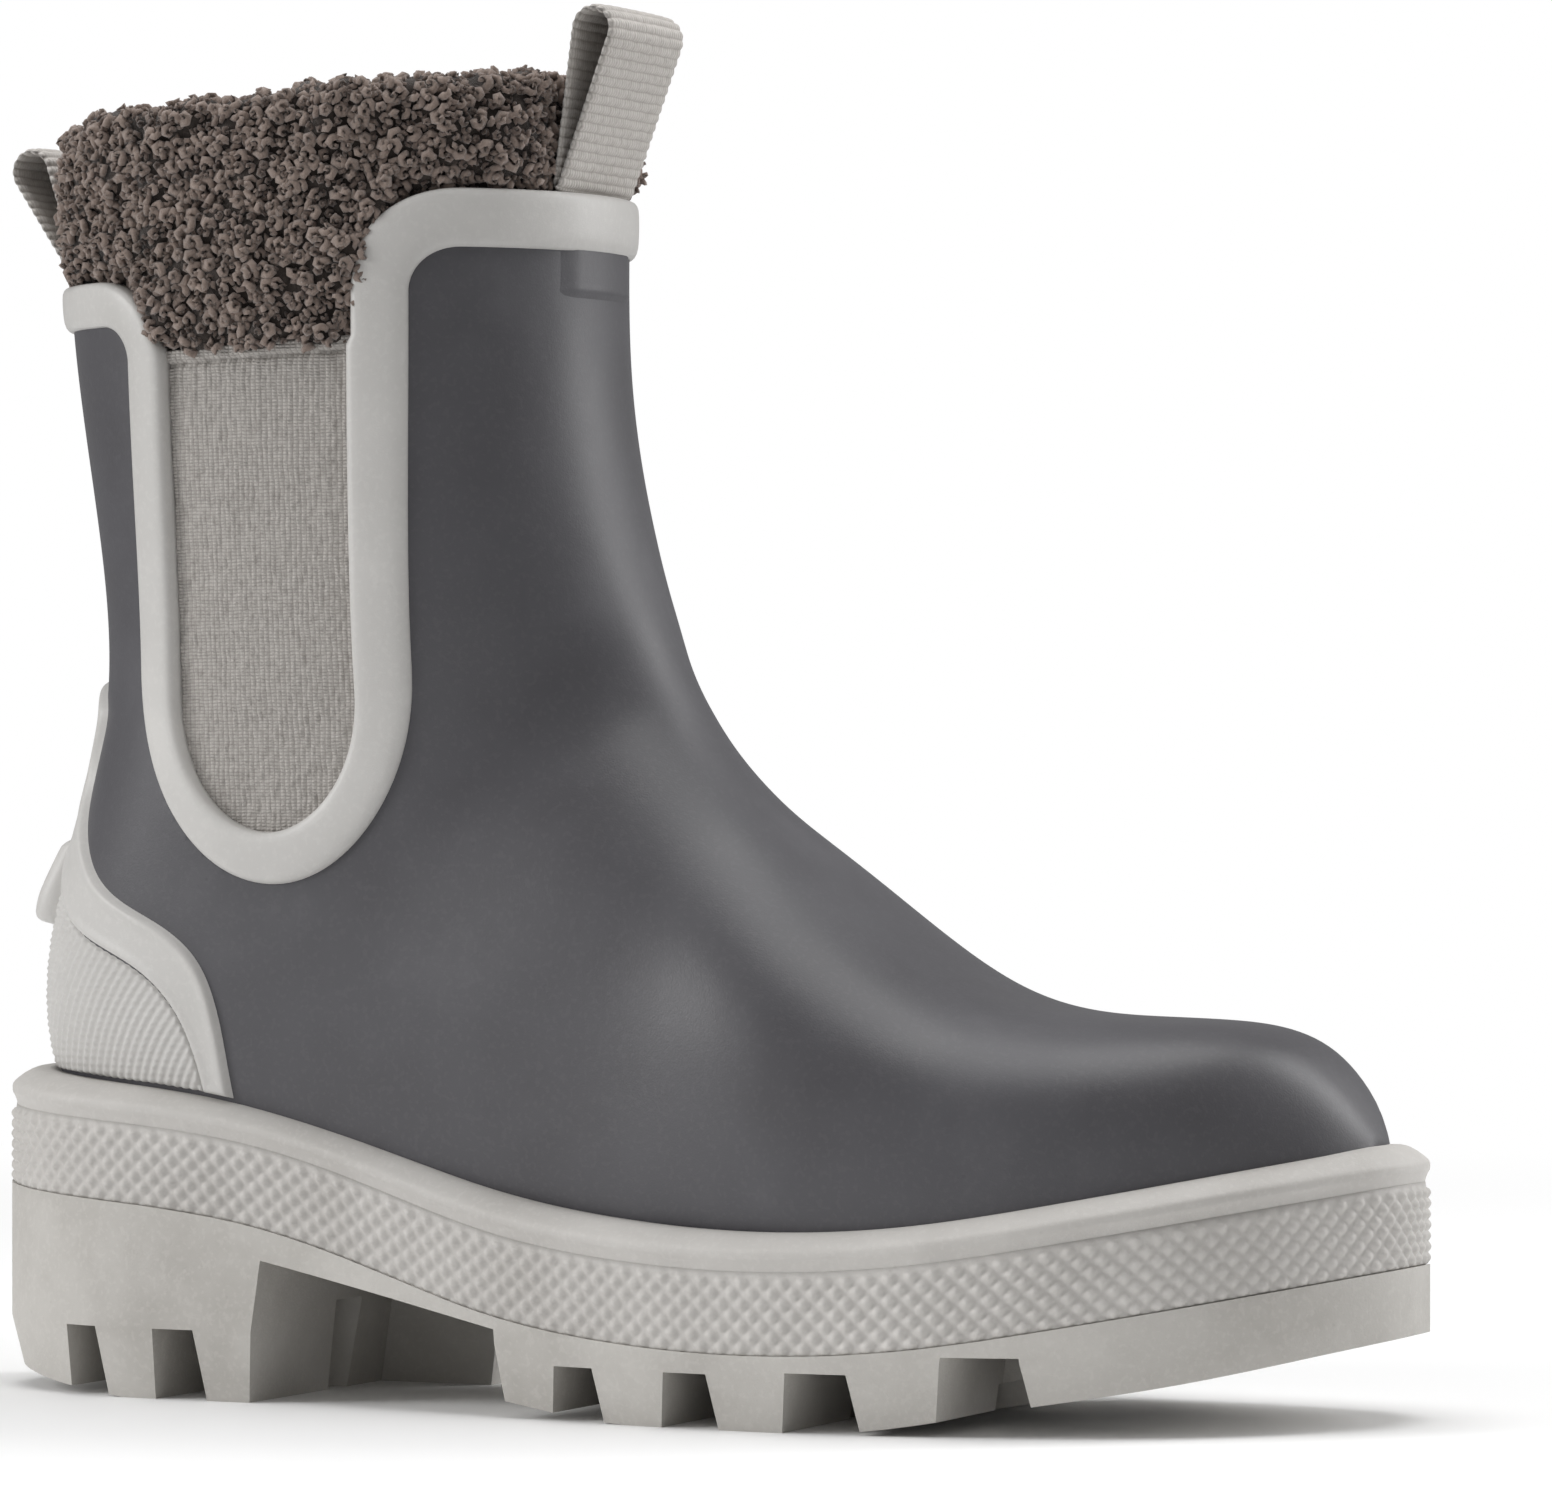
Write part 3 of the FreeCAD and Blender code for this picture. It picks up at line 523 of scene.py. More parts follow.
def makeScuffGroup():
    # thin handling marks in a few directions, and dust that gathers in patches
    group, given, result = groupOf("handling marks", {"Vector": (0, 0, 0), "Amount": 0.5},
                                   {"Marks": "Float", "Dust": "Float"})
    total = None
    for turn, stretch in ((0.35, (40, 900, 900)), (1.2, (900, 60, 700))):
        mapping = group.nodes.new("ShaderNodeMapping")
        mapping.inputs["Rotation"].default_value = (turn, 0.3, turn * 1.7)
        mapping.inputs["Scale"].default_value = stretch
        group.links.new(given.outputs["Vector"], mapping.inputs["Vector"])
        streak = noiseNode(group, mapping.outputs["Vector"], 1.0, 2.0, 0.5)
        streak = rangeNode(group, streak, 0.66, 0.74, 0.0, 1.0)
        total = streak if total is None else mathNode(group, "MAXIMUM", total, streak)
    where = noiseNode(group, given.outputs["Vector"], 14.0, 3.0, 0.5)
    total = mathNode(group, "MULTIPLY", total, rangeNode(group, where, 0.5, 0.68, 0.0, 1.0))
    total = mathNode(group, "MULTIPLY", total, given.outputs["Amount"])
    dust = noiseNode(group, given.outputs["Vector"], 34.0, 6.0, 0.7)
    dust = mathNode(group, "MULTIPLY", rangeNode(group, dust, 0.5, 0.75, 0.0, 1.0),
                    given.outputs["Amount"])
    group.links.new(total, result.inputs["Marks"])
    group.links.new(dust, result.inputs["Dust"])
    return group


def makeWeaveGroup():
    # plain weave on a piece's own cloth map, in threads per metre each way, with a mask that paints
    # shade into the gaps between threads
    group, given, result = groupOf(
        "plain weave", {"Vector": (0, 0, 0), "Across": 1400.0, "Along": 900.0},
        {"Height": "Float", "Gap Shade": "Float"})
    split = group.nodes.new("ShaderNodeSeparateXYZ")
    group.links.new(given.outputs["Vector"], split.inputs[0])
    wobble = noiseNode(group, given.outputs["Vector"], 260.0, 2.0, 0.5)
    wobble = mathNode(group, "MULTIPLY", mathNode(group, "SUBTRACT", wobble, 0.5), 0.0006)
    u = mathNode(group, "MULTIPLY", mathNode(group, "ADD", split.outputs[0], wobble),
                 given.outputs["Across"])
    v = mathNode(group, "MULTIPLY", mathNode(group, "ADD", split.outputs[1], wobble),
                 given.outputs["Along"])
    warp = mathNode(group, "SINE", mathNode(group, "MULTIPLY", u, math.pi))
    weft = mathNode(group, "SINE", mathNode(group, "MULTIPLY", v, math.pi))
    height = mathNode(group, "ABSOLUTE", mathNode(group, "MULTIPLY", warp, weft))
    group.links.new(height, result.inputs["Height"])
    # the gaps between threads are marked for painted shade
    group.links.new(rangeNode(group, height, 0.0, 0.35, 1.0, 0.0), result.inputs["Gap Shade"])
    return group


toneGroup = makeToneGroup()
grainGroup = makeGrainGroup()
scuffGroup = makeScuffGroup()
weaveGroup = makeWeaveGroup()


def placeGroup(tree, group, values=(), links=()):
    node = tree.nodes.new("ShaderNodeGroup")
    node.node_tree = group
    for label, value in dict(values).items():
        node.inputs[label].default_value = value
    for label, source in dict(links).items():
        tree.links.new(source, node.inputs[label])
    return node


def tint(red, green, blue):
    # display values of 0 to 255 as a linear colour
    linear = [((c / 255 + 0.055) / 1.055) ** 2.4 if c > 10 else c / 255 / 12.92
              for c in (red, green, blue)]
    return tuple(linear) + (1.0,)


def newFinish(name):
    material = bpy.data.materials.new(name)
    material.use_nodes = True
    tree = material.node_tree
    place = tree.nodes.new("ShaderNodeTexCoord").outputs["Object"]
    return material, tree, tree.nodes["Principled BSDF"], place


def setShader(shader, values):
    for label, value in values.items():
        shader.inputs[label].default_value = value


def raiseSurface(tree, shader, height, distance, strength):
    lift = tree.nodes.new("ShaderNodeBump")
    setShader(lift, {"Distance": distance, "Strength": strength})
    tree.links.new(height, lift.inputs["Height"])
    tree.links.new(lift.outputs["Normal"], shader.inputs["Normal"])


def rubberFinish(name, base, dark, light, rough, grain, bump, strength, marks, specular=0.5,
                 coat=0.0, patchScale=22.0):
    base, dark, light = tint(*base), tint(*dark), tint(*light)
    material, tree, shader, place = newFinish(name)
    tone = placeGroup(tree, toneGroup, {"Base": base, "Dark": dark, "Light": light,
                                        "Patch Scale": patchScale, "Strength": strength},
                      {"Vector": place})
    skin = placeGroup(tree, grainGroup, {"Grain Scale": grain}, {"Vector": place})
    wear = placeGroup(tree, scuffGroup, {"Amount": marks}, {"Vector": place})
    colour = mixColours(tree, mathNode(tree, "MULTIPLY", wear.outputs["Dust"], 0.25),
                        tone.outputs["Color"], light)
    colour = mixColours(tree, mathNode(tree, "MULTIPLY", wear.outputs["Marks"], 0.35), colour,
                        light)
    # painted shade: the pits are painted darker
    colour = mixColours(tree, skin.outputs["Pit Shade"], colour, dark)
    tree.links.new(colour, shader.inputs["Base Color"])
    roughness = rangeNode(tree, tone.outputs["Patches"], 0.3, 0.7, rough - 0.05, rough + 0.05)
    roughness = mathNode(tree, "MULTIPLY_ADD", wear.outputs["Marks"], 0.12, roughness, clamp=True)
    tree.links.new(roughness, shader.inputs["Roughness"])
    setShader(shader, {"Specular IOR Level": specular, "Coat Weight": coat, "Coat Roughness": 0.28})
    height = mathNode(tree, "MULTIPLY_ADD", wear.outputs["Marks"], -0.25, skin.outputs["Height"])
    raiseSurface(tree, shader, height, 0.0004, bump * 4)
    return material


def clothFinish(name, base, dark, light, across, along, rough, bump):
    base, dark, light = tint(*base), tint(*dark), tint(*light)
    material, tree, shader, place = newFinish(name)
    mapNode = tree.nodes.new("ShaderNodeUVMap")
    mapNode.uv_map = "cloth"
    tone = placeGroup(tree, toneGroup, {"Base": base, "Dark": dark, "Light": light,
                                        "Patch Scale": 700.0, "Fleck Scale": 2400.0,
                                        "Strength": 0.3}, {"Vector": place})
    weave = placeGroup(tree, weaveGroup, {"Across": across, "Along": along},
                       {"Vector": mapNode.outputs["UV"]})
    # painted shade: the weave's gaps are painted darker
    colour = mixColours(tree, mathNode(tree, "MULTIPLY", weave.outputs["Gap Shade"], 0.45),
                        tone.outputs["Color"], dark)
    tree.links.new(colour, shader.inputs["Base Color"])
    roughness = rangeNode(tree, weave.outputs["Height"], 0.0, 1.0, min(rough + 0.08, 1.0), rough)
    tree.links.new(roughness, shader.inputs["Roughness"])
    setShader(shader, {"Sheen Weight": 0.15, "Sheen Roughness": 0.5})
    fibres = noiseNode(tree, place, 4200.0, 2.0, 0.6)
    height = mathNode(tree, "MULTIPLY_ADD", fibres, 0.35, weave.outputs["Height"])
    raiseSurface(tree, shader, height, 0.0003, bump)
    return material


def fleeceFinish(name, base, dark, light, curls=False):
    base, dark, light = tint(*base), tint(*dark), tint(*light)
    material, tree, shader, place = newFinish(name)
    tone = placeGroup(tree, toneGroup, {"Base": base, "Dark": dark, "Light": light,
                                        "Patch Scale": 220.0, "Fleck Scale": 3000.0,
                                        "Strength": 0.8}, {"Vector": place})
    colour = tone.outputs["Color"]
    if curls:
        shade = tree.nodes.new("ShaderNodeAttribute")
        shade.attribute_name = "shade"
        colour = mixColours(tree, rangeNode(tree, shade.outputs["Fac"], 0.0, 1.0, 0.0, 0.65),
                            colour, light)
        colour = mixColours(tree, rangeNode(tree, shade.outputs["Fac"], 0.0, 0.45, 0.45, 0.0),
                            colour, dark)
    tree.links.new(colour, shader.inputs["Base Color"])
    setShader(shader, {"Roughness": 0.95, "Specular IOR Level": 0.2, "Sheen Weight": 0.35,
                       "Sheen Roughness": 0.45})
    fibres = noiseNode(tree, place, 1500.0, 4.0, 0.7)
    strands = noiseNode(tree, place, 5200.0, 2.0, 0.6)
    height = mathNode(tree, "MULTIPLY_ADD", strands, 0.5, fibres)
    raiseSurface(tree, shader, height, 0.0005, 0.8)
    return material


charcoalRubber = rubberFinish("charcoal rubber", (76, 75, 79), (64, 62, 65), (98, 97, 101),
                              rough=0.45, grain=2300.0, bump=0.03, strength=0.4, marks=0.4)
paleRubber = rubberFinish("pale rubber", (196, 194, 191), (182, 180, 176), (218, 216, 212),
                          rough=0.46, grain=2600.0, bump=0.03, strength=0.4, marks=0.35,
                          specular=0.45, coat=0.08)
weltRubber = rubberFinish("welt rubber", (192, 189, 185), (168, 164, 159), (212, 209, 205),
                          rough=0.55, grain=2400.0, bump=0.05, strength=0.5, marks=0.5,
                          specular=0.4)
soleRubber = rubberFinish("sole rubber", (188, 185, 180), (160, 156, 150), (208, 205, 200),
                          rough=0.6, grain=2000.0, bump=0.06, strength=0.55, marks=0.6,
                          specular=0.35, patchScale=30.0)
elasticCloth = clothFinish("elastic cloth", (184, 179, 174), (112, 106, 100), (196, 192, 187),
                           across=900.0, along=1500.0, rough=0.86, bump=0.9)
webbingCloth = clothFinish("webbing", (196, 191, 186), (140, 134, 127), (216, 212, 207),
                           across=1000.0, along=526.0, rough=0.8, bump=0.7)
fleeceCloth = fleeceFinish("fleece pile", (120, 105, 97), (58, 49, 44), (164, 147, 137), curls=True)
# the cuff's core is painted dark, as painted shade in the gaps between the curls
fleeceGapShade = fleeceFinish("fleece core in painted shade", (62, 55, 51), (42, 37, 34), (84, 76, 71))
liningFleece = fleeceFinish("lining fleece", (118, 109, 103), (76, 69, 64), (150, 141, 134))
boardFinish = rubberFinish("fibre board", (150, 128, 98), (120, 100, 74), (176, 156, 126),
                           rough=0.85, grain=1800.0, bump=0.09, strength=0.8, marks=0.2,
                           specular=0.3, patchScale=70.0)
foamFinish = rubberFinish("moulded foam", (96, 98, 104), (74, 76, 82), (128, 130, 136),
                          rough=0.9, grain=1200.0, bump=0.12, strength=0.6, marks=0.1, specular=0.2,
                          patchScale=60.0)
stiffFinish = rubberFinish("stiffener sheet", (164, 160, 150), (136, 131, 122), (190, 186, 176),
                           rough=0.7, grain=1500.0, bump=0.08, strength=0.6, marks=0.2,
                           specular=0.3, patchScale=50.0)
steelFinish = rubberFinish("spring steel", (150, 152, 156), (112, 114, 118), (188, 190, 194),
                           rough=0.34, grain=3000.0, bump=0.03, strength=0.5, marks=0.9,
                           specular=0.6, patchScale=40.0)
steelFinish.node_tree.nodes["Principled BSDF"].inputs["Metallic"].default_value = 1.0
print("materials ready")


# ---- geometry-node trees for everything that repeats

def newTree(name, inputs):
    tree = bpy.data.node_groups.new(name, "GeometryNodeTree")
    addSockets(tree, "INPUT", {"Geometry": "Geometry", **inputs})
    addSockets(tree, "OUTPUT", {"Geometry": "Geometry"})
    return tree, tree.nodes.new("NodeGroupInput"), tree.nodes.new("NodeGroupOutput")


def treeNode(tree, kind, values=(), links=(), **settings):
    node = tree.nodes.new(kind)
    for label, value in settings.items():
        setattr(node, label, value)
    for key, value in dict(values).items():
        node.inputs[key].default_value = value
    for key, source in dict(links).items():
        tree.links.new(source, node.inputs[key])
    return node


def finishTree(tree, given, result, geometry):
    # every tree ends in plain geometry with the piece's own material
    real = treeNode(tree, "GeometryNodeRealizeInstances", (), {"Geometry": geometry})
    dressed = treeNode(tree, "GeometryNodeSetMaterial", (),
                       {"Geometry": real.outputs[0], "Material": given.outputs["Material"]})
    tree.links.new(dressed.outputs[0], result.inputs["Geometry"])


def shadeEach(tree, given, instances):
    # a random "shade" of 0 to 1 for each instance
    shades = treeNode(tree, "FunctionNodeRandomValue", {"Min": 0.0, "Max": 1.0},
                      {"Seed": given.outputs["Seed"]}, data_type="FLOAT")
    # the float sockets of a random value come after its vector ones
    return treeNode(tree, "GeometryNodeStoreNamedAttribute", {"Name": "shade"},
                    {"Geometry": instances, "Value": shades.outputs[1]},
                    data_type="FLOAT", domain="INSTANCE").outputs[0]


def spreadOf(tree, given):
    # sizes between one less and one more than the spread, times the size
    ends = [mathNode(tree, side, 1.0, given.outputs["Size Spread"]) for side in ("SUBTRACT", "ADD")]
    sizes = treeNode(tree, "FunctionNodeRandomValue", (),
                     {2: ends[0], 3: ends[1], "Seed": given.outputs["Seed"]}, data_type="FLOAT")
    return mathNode(tree, "MULTIPLY", sizes.outputs[1], given.outputs["Size"])


def makePileTree():
    # curls scattered over a cloth, each turned at random
    tree, given, result = newTree("pile on cloth", {
        "Stamp": "Object", "Material": "Material", "Size": 1.0, "Size Spread": 0.3,
        "Spacing": 0.0025, "Tilt": 0.5, "Seed": 1})
    stamp = treeNode(tree, "GeometryNodeObjectInfo", {"As Instance": True},
                     {"Object": given.outputs["Stamp"]}, transform_space="ORIGINAL")
    points = treeNode(tree, "GeometryNodeDistributePointsOnFaces",
                      {"Density Max": 900000.0, "Density Factor": 1.0},
                      {"Mesh": given.outputs["Geometry"], "Distance Min": given.outputs["Spacing"],
                       "Seed": given.outputs["Seed"]}, distribute_method="POISSON")
    low = mathNode(tree, "MULTIPLY", given.outputs["Tilt"], -1.0)
    lowTurn = treeNode(tree, "ShaderNodeCombineXYZ", {2: 0.0}, {0: low, 1: low})
    highTurn = treeNode(tree, "ShaderNodeCombineXYZ", {2: 2 * math.pi},
                        {0: given.outputs["Tilt"], 1: given.outputs["Tilt"]})
    spin = treeNode(tree, "FunctionNodeRandomValue", (),
                    {0: lowTurn.outputs[0], 1: highTurn.outputs[0], "Seed": given.outputs["Seed"]},
                    data_type="FLOAT_VECTOR")
    spun = treeNode(tree, "FunctionNodeEulerToRotation", (), {0: spin.outputs[0]})
    turned = treeNode(tree, "FunctionNodeRotateRotation", (),
                      {0: points.outputs["Rotation"], 1: spun.outputs[0]}, rotation_space="LOCAL")
    placed = treeNode(tree, "GeometryNodeInstanceOnPoints", (),
                      {"Points": points.outputs["Points"], "Instance": stamp.outputs["Geometry"],
                       "Rotation": turned.outputs[0], "Scale": spreadOf(tree, given)})
    finishTree(tree, given, result, shadeEach(tree, given, placed.outputs["Instances"]))
    return tree


pileTree = makePileTree()


def runTree(name, source, tree, stamp, material, **values):
    # runs a tree on source and keeps its result as a plain mesh
    modifier = source.modifiers.new("tree", "NODES")
    modifier.node_group = tree
    wanted = {"Material": material, **values}
    if stamp:
        wanted["Stamp"] = stamp
    for item in tree.interface.items_tree:
        if item.in_out == "INPUT" and item.name in wanted:
            modifier[item.identifier] = wanted[item.name]
    bpy.context.view_layer.update()
    result = source.evaluated_get(bpy.context.evaluated_depsgraph_get())
    mesh = bpy.data.meshes.new_from_object(result)
    source.modifiers.remove(modifier)
    mesh.name = name
    shadeSmooth(mesh)
    return addObject(name, mesh)


def discard(*objects):
    for item in objects:
        bpy.data.objects.remove(item)


# ---- upper: the rubber shell

trimSizes = {"front": 11.3, "rear": 8.8, "low": 10.0, "rise": 1.85, "nick": 0.9}
upperSizes = {"rows": 250, "around": 210, "thick": 2.0, "belowWelt": 5.0, "underTrim": 4.0}
gore = {"middle": -71.5, "half": 20.0, "low": 111.0, "high": 205.6, "margin": 6.0,
        "bowl": 27.0, "outerBowl": 42.0}
rim = {"front": 235.0, "back": 218.5, "frontCorner": 20.0, "backCorner": 16.0}
goreFront = gore["middle"] + gore["half"]
goreBack = gore["middle"] - gore["half"]


def collarShape(front, rear, low):
    # corners, radii, sides and bowl of the collar's opening, grown by three widths
    frontX, frontZ = goreFront + rim["frontCorner"], rim["front"] - rim["frontCorner"]
    backX, backZ = goreBack - rim["backCorner"], rim["back"] - rim["backCorner"]
    frontR, backR = rim["frontCorner"] - front, rim["backCorner"] - rear
    right, left = goreFront + front, goreBack - rear
    drop = gore["bowl"] + (gore["outerBowl"] - gore["bowl"]) * low / trimSizes["low"]
    turn = gore["low"] - low + drop
    return frontX, frontZ, frontR, backX, backZ, backR, left, right, turn, drop


def inCollar(x, z, *widths):
    # whether points in the side view lie over the collar's opening
    frontX, frontZ, frontR, backX, backZ, backR, left, right, turn, drop = collarShape(*widths)
    bend = (right - left) / 2
    middle = (left + right) / 2
    inside = (x > frontX) & (z > frontZ + frontR)
    inside |= ((x <= frontX) & (x > middle) & (z > frontZ)
               & (np.hypot(x - frontX, z - frontZ) > frontR))
    inside |= (x < right) & (x > left) & (z > turn)
    inside |= (z <= turn) & (np.hypot((x - middle) / bend, (z - turn) / drop) < 1)
    inside |= (x >= backX) & (x < middle) & (z > backZ) & (np.hypot(x - backX, z - backZ) > backR)
    inside |= (x < backX) & (z > backZ + backR)
    return inside


def makeUpper():
    rows, around = upperSizes["rows"], upperSizes["around"]
    points = formGrid(0.0, rows, around)
    faces = gridFaces(rows, around, closeCols=True)
    points = points.reshape(-1, 3)
    cap = len(points)
    points = np.vstack([points, points[:around].mean(axis=0)])
    fan = [(j, (j + 1) % around, cap) for j in range(around)]
    x, z = points[:, 0], points[:, 2]
    trim = [trimSizes[part] - upperSizes["underTrim"] for part in ("front", "rear", "low")]
    kept = (z > weltHeight(x) - upperSizes["belowWelt"]) & ~inCollar(x, z, *trim)
    faces = [tuple(f) for f in faces[kept[faces].all(axis=1)].tolist()]
    faces += [f for f in fan if kept[list(f)].all()]
    piece = newPiece("upperShell", points, faces, charcoalRubber, faceAway=(-20, 0, 60))
    thicken(piece, upperSizes["thick"])
    return dress(piece, "boot", "upper_rubber", "upper_shell")


makeUpper()

patchSizes = {"rise": 0.8, "soft": 2.2}


def makePatch(name, replaced, low, high, halfWidth, front):
    # a soft raised oblong in the rubber over the end of the webbing
    margin = 2.4
    z = np.linspace(low - margin, high + margin, 44)
    reach = math.atan2(halfWidth + margin, 56.0)
    turn = np.linspace(-reach, reach, 110) + (0 if front else math.pi)
    turn, z = np.meshgrid(turn, z)
    places, normals = fromAxis(turn, z)
    radius = 3.0
    dx = np.abs(places[..., 1]) - (halfWidth - radius)
    dz = np.abs(z - (low + high) / 2) - ((high - low) / 2 - radius)
    outside = np.hypot(np.maximum(dx, 0), np.maximum(dz, 0)) - radius
    outside += np.minimum(np.maximum(dx, dz), 0)
    sides = smoothStep(halfWidth - np.abs(places[..., 1]), 0, 7)
    lift = patchSizes["rise"] * sides * smoothStep(-outside, -0.4, patchSizes["soft"]) - 0.12
    lift += 0.10 * np.exp(-((z - low - 1.2) / 0.8) ** 2) * smoothStep(-outside, 0, 1)
    piece = newPiece(name, places + normals * lift[..., None], gridFaces(*z.shape), charcoalRubber,
                     faceAway=(legAxis, 0, (low + high) / 2))
    thicken(piece, 0.8)
    return dress(piece, "boot", "upper_rubber", replaced)


makePatch("frontPatch", "front_tab_patch", 214.5, 229.0, 17.0, True)
makePatch("rearPatch", "rear_tab_patch", 198.5, 214.0, 15.0, False)
print("upper made")


# ---- collar trim: one moulded band round the rim and both gore openings

# place across the band, from the opening's edge to the outer edge, and height over the rubber
trimProfile = ((0.0, -2.0), (0.0, -0.8), (0.0, 0.55), (0.02, 1.05), (0.06, 1.45), (0.13, 1.72),
               (0.24, 1.84), (0.38, 1.88), (0.52, 1.88), (0.66, 1.84), (0.78, 1.72), (0.88, 1.45),
               (0.95, 1.02), (0.99, 0.5), (1.0, 0.0), (1.0, -0.7), (0.97, -2.0), (0.5, -2.0))


def trimLine(side, share):
    # one line along the band on one side of the boot, at a share of the band's width
    widths = (trimSizes[part] * share for part in ("front", "rear", "low"))
    frontX, frontZ, frontR, backX, backZ, backR, left, right, turn, drop = collarShape(*widths)
    bend = (right - left) / 2
    a = np.radians(np.linspace(90, 180, 26))
    b = np.radians(np.linspace(0, -180, 64))
    c = np.radians(np.linspace(0, 90, 22))
    down = np.linspace(frontZ, turn, 84)[1:-1]
    up = np.linspace(turn, backZ, 76)[1:-1]
    x = np.concatenate([frontX + frontR * np.cos(a), np.full(len(down), right),
                        (left + right) / 2 + bend * np.cos(b), np.full(len(up), left),
                        backX + backR * np.cos(c)])
    z = np.concatenate([frontZ + frontR * np.sin(a), down, turn + drop * np.sin(b), up,
                        backZ + backR * np.sin(c)])
    # a small step in the opening's edge where the elastic's hem sits
    step = smoothStep(z, gore["high"] - 0.6, gore["high"] + 0.9)
    step = trimSizes["nick"] * (1 - share) ** 2 * step
    step = np.where(z < frontZ + 4, step, step * smoothStep(-z, -frontZ - 12, -frontZ - 4))
    x = x + np.where(x > gore["middle"], step, -step)
    places, normals = fromSide(x, z, side)
    start = math.atan2(places[0, 1], places[0, 0] - legAxis)
    end = math.atan2(places[-1, 1], places[-1, 0] - legAxis)
    fore = np.linspace(0, start, 44)[:-1]
    aft = np.linspace(end, side * math.pi, 48)[1:]
    forePlaces, foreNormals = fromAxis(fore, np.full(len(fore), z[0]))
    aftPlaces, aftNormals = fromAxis(aft, np.full(len(aft), z[-1]))
    return np.vstack([forePlaces, places, aftPlaces]), np.vstack([foreNormals, normals, aftNormals])


def makeTrim():
    columns = []
    peak = max(lift for _, lift in trimProfile)
    for share, lift in trimProfile:
        outer, outerNormals = trimLine(-1, share)
        inner, innerNormals = trimLine(1, share)
        places = np.vstack([outer, inner[-2:0:-1]])
        normals = np.vstack([outerNormals, innerNormals[-2:0:-1]])
        columns.append(places + normals * (lift * trimSizes["rise"] / peak if lift > 0 else lift))
    points = np.stack(columns, axis=1)
    piece = newPiece("collarTrim", points, gridFaces(*points.shape[:2], True, True), paleRubber)
    return dress(piece, "boot", "pale_rubber", "lateral_collar_trim", "medial_collar_trim")


makeTrim()
print("collar trim made")


# ---- elastic gores

goreCloth = {"thick": 1.1, "columns": 130, "rows": 290, "hem": 2.4, "hemRise": 0.55,
             "crepe": 0.10, "ribPitch": 1.05, "rowPitch": 1.35, "puckers": 17, "depth": 1.75}


def makeGore(name, replaced, side):
    half = gore["half"] + gore["margin"]
    turn = gore["low"] + gore["bowl"]
    bottom = gore["low"] - gore["margin"]
    bowl = gore["bowl"] + gore["margin"]
    rows, columns = goreCloth["rows"], goreCloth["columns"]
    height = gore["high"] - bottom
    v = np.linspace(0, 1, rows)[:, None]
    u = np.linspace(-1, 1, columns)[None, :]
    z = bottom + 0.25 + v ** 1.12 * (height - 0.25) + 0 * u
    reach = half * np.sqrt(np.clip(1 - (np.maximum(turn - z, 0) / bowl) ** 2, 0.0015, 1))
    x = gore["middle"] + u * reach
    # the hem runs a little higher at the front
    z = z + smoothStep(z, turn, gore["high"]) * (x - gore["middle"]) / half * 1.5
    top = gore["high"] + (x - gore["middle"]) / half * 1.5
    places, normals = fromSide(x, z, side)
    fromHem = top - z
    hem = 1 - smoothStep(fromHem, goreCloth["hem"] - 0.5, goreCloth["hem"] + 0.4)
    middle = goreCloth["hem"] / 2
    edge = np.sqrt(np.clip(1 - ((middle - fromHem) / (middle + 0.4)) ** 2, 0, 1))
    lift = hem * (0.25 + goreCloth["hemRise"] * edge)
    fold = np.exp(-((fromHem - goreCloth["hem"] - 0.45) / 0.5) ** 2)
    lift -= 0.6 * fold
    across = (x - gore["middle"]) / half
    strip = np.stack([across * 9, 0 * across, 0 * across + side], -1)
    wander = lumpNoise(places * 0 + strip, 1.0, 3)
    pucker = np.sin(across * goreCloth["puckers"] * math.pi + wander * 1.6)
    lift += 0.20 * pucker * np.exp(-np.maximum(fromHem - goreCloth["hem"], 0) / 7.0) * (1 - hem)
    lift += 0.10 * pucker * hem
    broad = lumpNoise(places, 11.0, 5) * 0.22 + lumpNoise(places, 4.5, 6) * 0.10
    threads = np.sin(x / goreCloth["ribPitch"] * 2 * math.pi + lumpNoise(places, 3.0, 8) * 2.6)
    courses = np.sin(z / goreCloth["rowPitch"] * 2 * math.pi + lumpNoise(places, 2.6, 9) * 3.0)
    crepe = goreCloth["crepe"] * (0.6 * threads + 0.4 * threads * courses) * (1 - 0.5 * hem)
    grainPoints = places * np.array([1, 1, 0.45])
    crepe += 0.17 * lumpNoise(grainPoints, 0.9, 11) + 0.10 * lumpNoise(places, 2.2, 12)
    lift = lift + broad + crepe - goreCloth["depth"]
    points = places + normals * lift[..., None]
    piece = newPiece(name, points, gridFaces(rows, columns), elasticCloth,
                     faceAway=(gore["middle"], 0, 150))
    addClothMap(piece, lambda flat: flat[:, [0, 2]])
    thicken(piece, goreCloth["thick"])
    return dress(piece, "boot", "elastic", replaced)


def addClothMap(piece, layOut):
    # a cloth map in metres, from a function of the mesh's own points
    mesh = piece.data
    corners = np.zeros(len(mesh.loops), int)
    mesh.loops.foreach_get("vertex_index", corners)
    flat = np.zeros(len(mesh.vertices) * 3)
    mesh.vertices.foreach_get("co", flat)
    flat = layOut(flat.reshape(-1, 3))[corners]
    mesh.uv_layers.new(name="cloth").data.foreach_set("uv", flat.ravel())


makeGore("lateralGore", "lateral_gore", -1)
makeGore("medialGore", "medial_gore", 1)
print("gores made")


# ---- fleece cuff and linings

